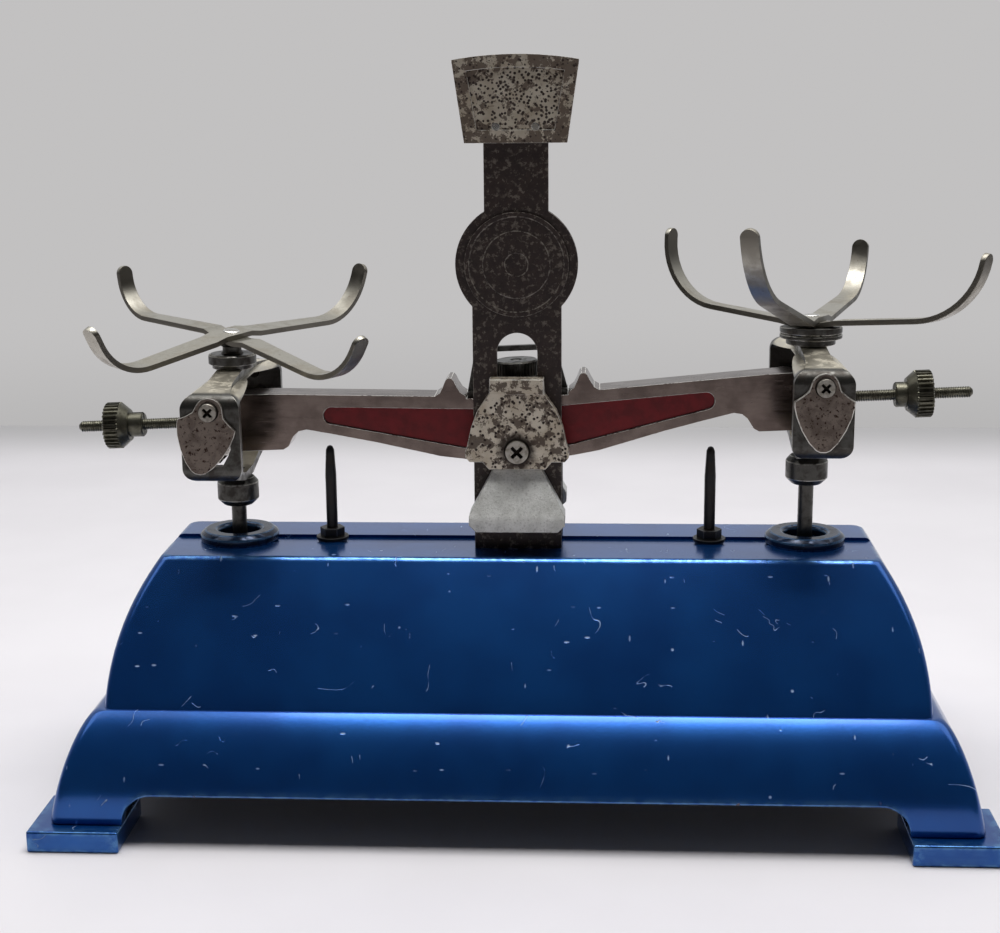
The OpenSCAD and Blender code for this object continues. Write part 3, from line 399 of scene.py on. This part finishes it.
def crimson_enamel():
    """Deep red enamel with specks of dirt."""
    s = Shader("crimson_enamel_paint", Coat_Weight=0.04, Coat_Roughness=0.3, Metallic=0.5)
    cloud = s.noise(3.5, 3, 0.6)
    colour = s.mix(s.step(cloud, 0.3, 0.7), (0.1, 0.0025, 0.0045), (0.16, 0.006, 0.009))
    dirt = s.step(s.noise(0.8, 4, 0.7), 0.64, 0.72, 0, 0.6)
    colour = s.mix(dirt, colour, (0.03, 0.006, 0.006))
    return s.finish(colour, s.step(cloud, 0.3, 0.7, 0.3, 0.42), s.bump(s.noise(1.1, 3, 0.5), 0.05, 0.7))


GUNMETAL = ((0.085, 0.083, 0.076), (0.045, 0.04, 0.035))   # the plain tone and the dark tone
SLOTS = {
    "blue_enamel": blue_enamel(),
    "collar_black": worn_metal("blue_black_enamel", (0.012, 0.03, 0.075), (0.008, 0.012, 0.028),
                               (0.05, 0.12, 0.24), 0.4, (0.16, 0.3), bump_mm=0.01),
    "black_steel": worn_metal("blackened_steel", (0.016, 0.016, 0.017), (0.03, 0.024, 0.02),
                              (0.1, 0.1, 0.1), 0.6, (0.36, 0.5)),
    "dark_plate": dark_plate(),
    "pitted_nickel": pitted_nickel("pitted_nickel", 0.62, 0.09, middle=DIAL_MIDDLE),
    "cast_alloy": cast_alloy(),
    "beam_metal": beam_metal(),
    "crimson_enamel": crimson_enamel(),
    "gunmetal": worn_metal("dark_gunmetal", *GUNMETAL, (0.34, 0.33, 0.3), 0.9, (0.32, 0.48)),
    "shield_brown": worn_metal("brown_grey_shield", (0.19, 0.155, 0.13), (0.12, 0.094, 0.078),
                               (0.7, 0.68, 0.62), 0.8, (0.36, 0.5), rust=(0.03, 0.014, 0.009),
                               rust_share=0.56, rust_mm=1.0),
    "bright_steel": worn_metal("bright_steel", (0.62, 0.6, 0.56), (0.42, 0.39, 0.34), (0.8, 0.79, 0.76),
                               1.0, (0.18, 0.32)),
    "olive_steel": worn_metal("olive_grey_steel", (0.13, 0.125, 0.095), (0.06, 0.055, 0.04),
                              (0.36, 0.35, 0.29), 0.9, (0.34, 0.5)),
    # painted shade darkens this nickel's upright faces
    "cross_nickel": worn_metal("warm_worn_nickel", (0.42, 0.4, 0.345), (0.27, 0.25, 0.21),
                               (0.2, 0.185, 0.155), 0.92, (0.36, 0.5), mottle_mm=7,
                               upright_shade=(0.13, 0.12, 0.1), rust=(0.1, 0.055, 0.03),
                               rust_share=0.66, rust_mm=0.8),
}
COVER = pitted_nickel("stained_nickel", 0.3, 0.12, stain=STAIN_PLACE)
# the pale strap colour is painted as a highlight on the straps' upward faces
CARRIER = worn_metal("carrier_gunmetal", *GUNMETAL, (0.42, 0.4, 0.35), 0.9, (0.32, 0.48),
                     rust=(0.05, 0.03, 0.02), strap_highlight=(0.66, 0.61, 0.5))
COVER_SCREW = screw_metal("cover_screw_steel", COVER_SCREW_FACE)
SHIELD_SCREW = screw_metal("shield_screw_steel", SHIELD_SCREW_FACE)


# ---------- pieces ----------

def link(mesh, name):
    made = bpy.data.objects.new(name, mesh)
    bpy.context.scene.collection.objects.link(made)
    return made


def link_mesh(bm, name):
    """A new object of the shape in bm, which is used up."""
    mesh = bpy.data.meshes.new(name)
    bm.to_mesh(mesh)
    bm.free()
    return link(mesh, name)


def set_piece(piece, node, material=None):
    """Makes the piece stand for a CAD node, with the node's body and slot."""
    piece.data.materials.clear()
    piece.data.materials.append(material or SLOTS[SLOT_OF[node]])
    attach(piece, BODY_OF[node])
    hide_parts(node)


def apply_modifiers(piece):
    """Turns the piece's modifiers into its mesh."""
    made = bpy.data.meshes.new_from_object(piece.evaluated_get(bpy.context.evaluated_depsgraph_get()))
    piece.modifiers.clear()
    piece.data = made


BEVEL_ANGLE = 28                  # edges sharper than this are rounded, in degrees
MERGE_GAP = 2e-6                  # points closer than this are one, in metres


def rounded(node, width_mm, material, merge):
    """Replaces a CAD node by a copy with rounded edges, whose new faces are marked as the rim."""
    mesh = frame["nodes"][node].data.copy()
    mesh.materials.clear()
    for attribute in [a.name for a in mesh.attributes if a.name.startswith("custom_normal")]:
        mesh.attributes.remove(mesh.attributes[attribute])
    bm = bmesh.new()
    bm.from_mesh(mesh)
    bmesh.ops.remove_doubles(bm, verts=bm.verts, dist=MERGE_GAP)
    if merge:
        bmesh.ops.dissolve_limit(bm, angle_limit=math.radians(0.6), verts=bm.verts, edges=bm.edges)
    bm.to_mesh(mesh)
    bm.free()
    piece = link(mesh, node + "_finished")
    plain, rim_slot = 0, 1
    for _ in (plain, rim_slot):
        mesh.materials.append(SLOTS[SLOT_OF[node]])
    bevel = piece.modifiers.new("round", "BEVEL")
    bevel.width = width_mm * MM
    bevel.segments = 2
    bevel.limit_method = "ANGLE"
    bevel.angle_limit = math.radians(BEVEL_ANGLE)
    bevel.material = rim_slot
    bevel.use_clamp_overlap = True
    apply_modifiers(piece)
    mesh = piece.data
    rim = mesh.attributes.new("rim", "FLOAT", "FACE")
    rim.data.foreach_set("value", [float(p.material_index == rim_slot) for p in mesh.polygons])
    mesh.polygons.foreach_set("material_index", [plain] * len(mesh.polygons))
    smooth_by_angle(piece)
    set_piece(piece, node, material)


def smooth_by_angle(piece, angle=32):
    """Smooth shading, with an edge kept sharp where the surface turns by more than angle degrees."""
    mesh = piece.data
    mesh.polygons.foreach_set("use_smooth", [True] * len(mesh.polygons))
    mesh.set_sharp_from_angle(angle=math.radians(angle))
    weigh = piece.modifiers.new("normals", "WEIGHTED_NORMAL")
    weigh.keep_sharp = True


def finish_simple_nodes(done):
    """Rounds the edges of every node that isn't in done."""
    widths = {
        "column_plate": 0.35, "rear_plate": 0.35, "front_apron": 0.6, "rear_apron": 0.6,
        "front_bearing_cover": 0.4, "rear_bearing_cover": 0.4, "dial_plate": 0.5, "beam_casting": 0.7,
        "beam_enamel_panels": 0.22, "left_carrier_frame": 0.3, "right_carrier_frame": 0.3,
        "left_shields": 0.3, "right_shields": 0.3, "pointer": 0.2, "centre_knife_edge": 0.05,
        "end_knife_edges": 0.05, "rod_collars": 0.35,
    }
    materials = {
        "front_bearing_cover": COVER, "rear_bearing_cover": COVER, "bearing_cover_screws": COVER_SCREW,
        "left_carrier_frame": CARRIER, "right_carrier_frame": CARRIER,
        "left_shield_screws": SHIELD_SCREW, "right_shield_screws": SHIELD_SCREW,
    }
    unmerged = ("front_bearing_cover", "rear_bearing_cover")
    for node in frame["nodes"]:
        if node not in done:
            rounded(node, widths.get(node, 0.2), materials.get(node), merge=node not in unmerged)


# The base casting, in millimetres, as part.scad draws it.
LEDGE, TOP, FOOT, ARCH = 30.8, 64.0, 5.5, 13.0
TOP_HALF, LEDGE_HALF, LIP_HALF, SKIRT_HALF = (94, 18), (104.3, 43.7), (104.9, 44.5), (115.6, 57.8)
SPAN = (97.0, 39.5)               # half spans of the arches, along X and along Y
ARCH_RADIUS = 7.0
UPPER_BEND = (2.4, 1.15)          # how sharply the upper tier curves along X and Y
LOWER_END_BEND, SHOULDER_BEND = 0.47, 2.5
HIP = 2.6                         # radius of the upright corners
WALL, ROOF = 4.0, 60.0
ROD_PLACE, ROD_HOLE = 76.5, 5.5   # the guide rods' distance from the middle, the radius of their holes
GROOVE_WIDTH, GROOVE_DEPTH = 8.0, 0.8
FOOT_REACH = (120.0, 62.0)        # outer corner of a foot plate; its inner corner is at SPAN
UPPER_ROWS, LOWER_ROWS = 18, 22   # rows of faces above and below the ledge
ROUND_IN, ROUND_DOWN = 0.9, 0.4   # rounding of the top edge
RIM_ROUND = 0.35                  # rounding of the lower edge


def tier_half(axis, z):
    """Half width of the casting at a height, along X (axis 0) or along Y (axis 1)."""
    if z >= LEDGE:
        rise = (z - LEDGE) / (TOP - LEDGE)
        return LEDGE_HALF[axis] - (LEDGE_HALF[axis] - TOP_HALF[axis]) * rise ** UPPER_BEND[axis]
    drop = min(1, (LEDGE - z) / (LEDGE - FOOT))
    share = drop ** LOWER_END_BEND if axis == 0 else 1 - (1 - drop) ** SHOULDER_BEND
    return LIP_HALF[axis] + (SKIRT_HALF[axis] - LIP_HALF[axis]) * share


def outline_marks(axis):
    """Places along one side at the height of the arch, denser where the arch turns down."""
    span, end = SPAN[axis], tier_half(axis, ARCH) - HIP
    inner = span - ARCH_RADIUS
    count = max(8, round(inner / 5))
    marks = [inner * i / count for i in range(1, count + 1)]
    marks += [inner + ARCH_RADIUS * math.sin(math.radians(a)) for a in range(9, 91, 9)]
    marks += [span + (end - span) * i / 5 for i in range(1, 6)]
    return [-m for m in reversed(marks)] + [0.0] + marks


def along_side(axis, mark, z, inset):
    """Where a mark of the arch's height comes to lie at another height."""
    full = tier_half(axis, ARCH) - HIP
    here = tier_half(axis, z) - HIP - inset
    if z >= ARCH:
        return mark / full * here
    span = SPAN[axis]
    if abs(mark) <= span:
        return mark
    return math.copysign(span + (abs(mark) - span) / (full - span) * (here - span), mark)


def lowest(axis, mark):
    """Height of the lower edge of the skirt at a mark."""
    over = abs(mark) - (SPAN[axis] - ARCH_RADIUS)
    if over <= 0:
        return ARCH
    if over >= ARCH_RADIUS:
        return FOOT
    return FOOT + (ARCH - FOOT) * math.sqrt(1 - (over / ARCH_RADIUS) ** 2)


def perimeter():
    """Lines round the casting: (side, mark) on the straights and (corner, angle) on the hips."""
    lines = []
    for corner in range(4):
        axis = corner % 2
        marks = outline_marks(axis)
        if corner in (2, 3):
            marks = marks[::-1]
        lines += [("side", corner, m) for m in marks]
        lines += [("hip", corner, a) for a in (18, 36, 54, 72)]
    return lines


def ring_point(line, z, inset):
    """The point (x, y) where a line of the perimeter meets a height, inset from the outside."""
    kind, corner, value = line
    hx, hy = tier_half(0, z) - inset, tier_half(1, z) - inset
    if kind == "side":
        move = along_side(corner % 2, value, z, inset)
        return [(move, -hy), (hx, move), (move, hy), (-hx, move)][corner]
    turn = math.radians(-90 + 90 * corner + value)
    sx, sy = [(1, -1), (1, 1), (-1, 1), (-1, -1)][corner]
    return (sx * (hx - HIP) + HIP * math.cos(turn), sy * (hy - HIP) + HIP * math.sin(turn))


def shell_rows(line, top, inset, hidden):
    """Points down one line of the casting, with how worn each one is."""
    low = lowest(line[1] % 2, line[2]) if line[0] == "side" else FOOT
    arched = low > FOOT + 0.1
    rows = []
    start = top
    if not hidden:
        rows.append((*ring_point(line, top, inset + ROUND_IN), top, 0.15))
        rows.append((*ring_point(line, top, inset + 0.28), top - 0.08, 1.0))
        rows.append((*ring_point(line, top - ROUND_DOWN, inset), top - ROUND_DOWN, 0.9))
        start = top - 1.1
    for i in range(UPPER_ROWS + 1):
        z = start + (LEDGE - start) * i / UPPER_ROWS
        rows.append((*ring_point(line, z, inset), z, 0.0))
    for i in range(LOWER_ROWS + 1):
        z = LEDGE - (LEDGE - low - 0.5) * (i / LOWER_ROWS) ** 1.8 - 1e-4
        worn = 0.9 if i == LOWER_ROWS and arched else 0.0
        rows.append((*ring_point(line, z, inset), z, worn))
    edge = inset if hidden else inset + RIM_ROUND
    rows.append((*ring_point(line, low, edge), low, 0.8 if arched else 0.0))
    return rows


def base_casting():
    """The hollow casting: an outer and an inner skin joined at the lower edge, and four foot plates."""
    bm = bmesh.new()
    wear = bm.verts.layers.float.new("wear")
    # this layer marks the inner skin, which the enamel darkens as painted shade
    inside = bm.verts.layers.float.new("inside")
    lines = perimeter()

    def column(line, top, inset, hidden):
        made = []
        for x, y, z, worn in shell_rows(line, top, inset, hidden):
            v = bm.verts.new((x * MM, y * MM, z * MM))
            v[wear], v[inside] = worn, float(hidden)
            made.append(v)
        return made

    def skin(here, there):
        for a in range(len(here) - 1):
            bm.faces.new((here[a], here[a + 1], there[a + 1], there[a]))

    outer = [column(line, TOP, 0, False) for line in lines]
    inner = [column(line, ROOF, WALL, True) for line in lines]
    for i in range(len(lines)):
        j = (i + 1) % len(lines)
        skin(outer[i], outer[j])
        skin(inner[j], inner[i])
        bm.faces.new((outer[i][-1], inner[i][-1], inner[j][-1], outer[j][-1]))
    bm.faces.new([c[0] for c in outer])
    bm.faces.new([c[0] for c in reversed(inner)])
    bmesh.ops.recalc_face_normals(bm, faces=bm.faces)
    piece = link_mesh(bm, "base_shell")
    cutters = [cut_box((0, 0, TOP), (2 * FOOT_REACH[0], GROOVE_WIDTH, 2 * GROOVE_DEPTH))]
    cutters += [cut_round((side * ROD_PLACE, 0, TOP), ROD_HOLE, 20) for side in (-1, 1)]
    subtract(piece, cutters)
    smooth_by_angle(piece, 38)
    set_piece(piece, "base_casting")
    for sx in (-1, 1):
        for sy in (-1, 1):
            foot_plate(sx, sy)


def foot_plate(sx, sy):
    """Foot plate at the corner (sx, sy), with rounded and chipped edges."""
    round_mm, chip_mm, fade_mm = 0.55, 0.6, 2.4     # rounding, and widths of the worn edge bands
    ends = [(sx * SPAN[0], sx * FOOT_REACH[0]), (sy * SPAN[1], sy * FOOT_REACH[1]), (0, FOOT)]
    lo = Vector([min(pair) for pair in ends]) * MM
    hi = Vector([max(pair) for pair in ends]) * MM
    bm = bmesh.new()
    wear = bm.verts.layers.float.new("wear")
    bmesh.ops.create_cube(bm, size=1)
    for v in bm.verts:
        v.co = (lo + hi) / 2 + v.co * (hi - lo)
    bmesh.ops.bevel(bm, geom=list(bm.edges), offset=round_mm * MM, segments=3, profile=0.5, affect="EDGES")
    long_edges = [e for e in bm.edges if e.calc_length() > 4 * MM]
    bmesh.ops.subdivide_edges(bm, edges=long_edges, cuts=7, use_grid_fill=True)
    for v in bm.verts:
        gaps = sorted(min(v.co[k] - lo[k], hi[k] - v.co[k]) for k in range(3))
        v[wear] = 1.0 if gaps[1] < chip_mm * MM else (0.12 if gaps[1] < fade_mm * MM else 0.0)
    name = ("right" if sx > 0 else "left") + ("_rear" if sy > 0 else "_front") + "_foot_plate"
    piece = link_mesh(bm, name)
    smooth_by_angle(piece)
    set_piece(piece, "base_casting")


def subtract(piece, cutters):
    """Cuts the cutters out of the piece and deletes them."""
    for cutter in cutters:
        cut = piece.modifiers.new("cut", "BOOLEAN")
        cut.operation = "DIFFERENCE"
        cut.solver = "EXACT"
        cut.object = cutter
    bpy.context.view_layer.update()
    apply_modifiers(piece)
    for cutter in cutters:
        bpy.data.objects.remove(cutter)


def cut_box(centre, size):
    bm = bmesh.new()
    bmesh.ops.create_cube(bm, size=1)
    for v in bm.verts:
        v.co = Vector(c + k * w for c, k, w in zip(centre, v.co, size)) * MM
    return link_mesh(bm, "cutter")


def cut_round(centre, radius, height, along_x=False):
    """A cylinder round centre, upright or lying along X."""
    turn = Matrix.Rotation(math.radians(90 if along_x else 0), 4, "Y")
    bm = bmesh.new()
    bmesh.ops.create_cone(bm, cap_ends=True, segments=64, radius1=radius * MM, radius2=radius * MM,
                          depth=height * MM, matrix=Matrix.Translation(Vector(centre) * MM) @ turn)
    return link_mesh(bm, "cutter")


def swept(name, stations, count, radius_at):
    """A closed turned body along X: stations are places along it, radius_at(place, angle) its surface."""
    bm = bmesh.new()
    rings = []
    for place in stations:
        ring = []
        for k in range(count):
            angle = 2 * math.pi * k / count
            r = radius_at(place, angle)
            ring.append(bm.verts.new(Vector((place, r * math.cos(angle), r * math.sin(angle))) * MM))
        rings.append(ring)
    for a, b in zip(rings, rings[1:]):
        for k in range(count):
            n = (k + 1) % count
            bm.faces.new((a[k], b[k], b[n], a[n]))
    bm.faces.new(rings[0])
    bm.faces.new(rings[-1][::-1])
    bmesh.ops.recalc_face_normals(bm, faces=bm.faces)
    return link_mesh(bm, name)


def spaced(points, step):
    """Fills in a rising list of places so that no gap is longer than step."""
    out = [points[0]]
    for a, b in zip(points, points[1:]):
        n = max(1, math.ceil((b - a) / step))
        out += [a + (b - a) * i / n for i in range(1, n + 1)]
    return out


# The adjusting rods and nuts, in millimetres.
ROD_HEIGHT = 99.9                 # of the adjusting rods' axis, with the beam level
ROD_START, TIP_START, ROD_END = 83.5, 118.2, 119.0
ROD_RADIUS, NUT_BORE = 1.5, 1.55
PITCH, THREAD_DEPTH = 0.62, 0.2


def threaded_rods():
    """Adjusting rods with a helical thread, smooth at the root and coned at the tip."""
    def radius_at(x, angle):
        turn = (x / PITCH - angle / (2 * math.pi)) % 1.0
        r = ROD_RADIUS - THREAD_DEPTH * (1 - abs(2 * turn - 1)) ** 1.3
        if x > TIP_START:
            r = min(r, ROD_RADIUS - (x - TIP_START) * 0.95)
        return r

    for side in (-1, 1):
        rod = swept("adjusting_rod", spaced([ROD_START, ROD_END], PITCH / 7), 20, radius_at)
        place_on_beam(rod, side)
        smooth_by_angle(rod, 50)
        set_piece(rod, "adjusting_rods")


def place_on_beam(piece, side):
    """Moves a body drawn along +X through the origin out to its place on one side of the beam."""
    if side < 0:
        piece.data.transform(Matrix.Scale(-1, 4, (1, 0, 0)))
        piece.data.flip_normals()
    piece.data.transform(Matrix.Translation((0, 0, ROD_HEIGHT * MM)))
    piece.data.transform(ON_BEAM)


FLANK = 0.14                      # share of the knurling's pitch that one flank of a tooth takes


def clamped(value):
    return max(0, min(1, value))


def tooth_gap(angle, teeth, half_width):
    """How deep in a gap of the knurling an angle lies: 0 on a tooth, 1 at the bottom of a gap."""
    tooth = (angle * teeth / (2 * math.pi)) % 1.0
    return clamped((half_width - abs(tooth - 0.5)) / FLANK)


def knurled_nut(name, side, reach, wheel, hub):
    """Balance nut with straight knurling on its rim, a coned inner side and a slit hub.

    reach is the place of its outer face; wheel and hub are the lengths of its two parts.
    """
    radius, hub_radius, cone_foot, cone, teeth = 6.25, 3.3, 4.25, 2.4, 30
    chamfer, knurl_depth = 0.35, 0.62
    slit_length, slit_width, slit_depth = hub - 0.7, 0.9, 4.2
    inner = reach - wheel
    marks = [inner - hub, inner - hub + chamfer, inner - 0.05, inner, inner + 0.4, inner + cone - 0.3,
             inner + cone, inner + cone + 0.35, reach - 2 * chamfer, reach - chamfer, reach]

    def radius_at(x, angle):
        if x < inner - 0.02:
            return hub_radius - max(0, inner - hub + chamfer - x)
        shape = min(cone_foot + (radius - cone_foot) * (x - inner) / cone, radius)
        shape -= max(0, x - (reach - chamfer)) * 1.1
        band = clamped((x - inner - cone + 0.3) / 0.5)
        return shape - knurl_depth * tooth_gap(angle, teeth, 0.36) * band

    nut = swept(name + "_knurled", spaced(marks, 1.2), teeth * 8, radius_at)
    slit = cut_box((inner - hub, 0, 0.5 + slit_depth / 2), (2 * slit_length, slit_width, slit_depth))
    subtract(nut, [slit, cut_round((reach, 0, 0), NUT_BORE, 40, along_x=True)])
    place_on_beam(nut, side)
    smooth_by_angle(nut, 30)
    set_piece(nut, name)


def sensitivity_wheel():
    """Knurled sensitivity nut, its axis up the beam's middle."""
    radius, low, top, teeth = 5.7, 109.0, 113.4, 36
    chamfer, knurl_depth = 0.4, 0.3

    def radius_at(x, angle):
        shape = radius - max(0, low + chamfer - x) - max(0, x - (top - chamfer))
        band = 1 if low + chamfer < x < top - chamfer else 0
        return shape - knurl_depth * band * tooth_gap(angle, teeth, 0.34)

    marks = [low, low + chamfer, low + chamfer + 0.2, top - chamfer - 0.2, top - chamfer, top]
    nut = swept("sensitivity_nut_knurled", spaced(marks, 1.2), teeth * 7, radius_at)
    subtract(nut, [cut_round((top, 0, 0), NUT_BORE, 20, along_x=True)])
    nut.data.transform(Matrix.Rotation(math.radians(-90), 4, "Y"))
    nut.data.transform(ON_BEAM)
    smooth_by_angle(nut, 30)
    set_piece(nut, "sensitivity_nut")


def dial_marks():
    """Plain graduation lines on the side of the dial that faces the reader."""
    each_side, spacing, every = 8, 1.05, 4       # lines each side, degrees apart, and which ones are long
    face, thickness = -6.36, 0.12                # place along Y, and how thick the paint stands
    outer = 90.2                                 # radius from the pivot
    bm = bmesh.new()
    for k in range(-each_side, each_side + 1):
        angle = math.radians(k * spacing)
        inner, width = (84.2, 0.32) if k % every == 0 else (86.0, 0.22)
        for v in bmesh.ops.create_cube(bm, size=1)["verts"]:
            r = inner + (outer - inner) * (v.co.z + 0.5)
            side = v.co.x * width
            v.co = Vector((r * math.sin(angle) + side * math.cos(angle), face + v.co.y * thickness,
                           PIVOT_HEIGHT + r * math.cos(angle) - side * math.sin(angle))) * MM
    bmesh.ops.bevel(bm, geom=list(bm.edges), offset=0.015 * MM, segments=1, affect="EDGES")
    marks = link_mesh(bm, "dial_graduations")
    marks.data.materials.append(SLOTS["black_steel"])
    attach(marks, "base")


# ---------- stage ----------

TABLE_REACH, TABLE_BACK = 4.0, 0.46      # the table's half width and its far edge, in metres


def make_stage():
    """Pale table that ends a little way behind the object and darkens towards its far edge."""
    mesh = bpy.data.meshes.new("floor")
    corners = [(-TABLE_REACH, -TABLE_REACH, 0), (TABLE_REACH, -TABLE_REACH, 0),
               (TABLE_REACH, TABLE_BACK, 0), (-TABLE_REACH, TABLE_BACK, 0)]
    mesh.from_pydata(corners, [], [(0, 1, 2, 3)])
    floor = link(mesh, "floor")
    s = Shader("pale_floor", Specular_IOR_Level=0.25)
    cloud = s.noise(60, 3, 0.5)
    near = s.mix(s.step(cloud, 0.3, 0.7), (0.74, 0.717, 0.74), (0.768, 0.745, 0.768))
    far = s.step(s.along(1), TABLE_BACK - 0.1, TABLE_BACK)
    s.finish(s.mix(far, near, (0.5, 0.49, 0.495)), 0.55)
    floor.data.materials.append(s.mat)


def make_world():
    """Grey wall behind, dim room in front; the camera itself sees a plain pale backdrop."""
    world = bpy.data.worlds.new("studio")
    bpy.context.scene.world = world
    world.use_nodes = True
    tree = world.node_tree
    room = tree.nodes["Background"]
    room.inputs["Color"].default_value = (0.97, 0.98, 1.0, 1)
    parts = tree.nodes.new("ShaderNodeSeparateXYZ")
    tree.links.new(tree.nodes.new("ShaderNodeTexCoord").outputs["Generated"], parts.inputs[0])

    def ramp(source, low, high, out_low, out_high):
        made = tree.nodes.new("ShaderNodeMapRange")
        made.interpolation_type = "SMOOTHSTEP"
        made.inputs["From Min"].default_value, made.inputs["From Max"].default_value = low, high
        made.inputs["To Min"].default_value, made.inputs["To Max"].default_value = out_low, out_high
        tree.links.new(source, made.inputs["Value"])
        return made.outputs["Result"]

    tree.links.new(ramp(parts.outputs[1], -0.2, 0.8, 0.05, 0.6), room.inputs["Strength"])
    backdrop = tree.nodes.new("ShaderNodeBackground")
    backdrop.inputs["Color"].default_value = (1.0, 0.985, 0.985, 1)
    tree.links.new(ramp(parts.outputs[2], -0.22, -0.13, 0.46, 0.54), backdrop.inputs["Strength"])
    choose = tree.nodes.new("ShaderNodeMixShader")
    tree.links.new(tree.nodes.new("ShaderNodeLightPath").outputs["Is Camera Ray"], choose.inputs[0])
    tree.links.new(room.outputs[0], choose.inputs[1])
    tree.links.new(backdrop.outputs[0], choose.inputs[2])
    tree.links.new(choose.outputs[0], tree.nodes["World Output"].inputs["Surface"])


make_camera()
base_casting()
threaded_rods()
knurled_nut("left_balance_nut", side=-1, reach=111.3, wheel=6.3, hub=3.8)
knurled_nut("right_balance_nut", side=1, reach=108.3, wheel=6.5, hub=3.0)
sensitivity_wheel()
dial_marks()
finish_simple_nodes(["base_casting", "adjusting_rods", "left_balance_nut", "right_balance_nut",
                     "sensitivity_nut"])
make_stage()
make_world()
area_light("overhead_wide", place=(0, 0.1, 0.85), size=(1.7, 0.6), power=5.4)
area_light("overhead_core", place=(0.02, 0, 0.85), size=(0.34, 0.46), power=4.6)
bpy.context.scene.view_settings.view_transform = "Standard"
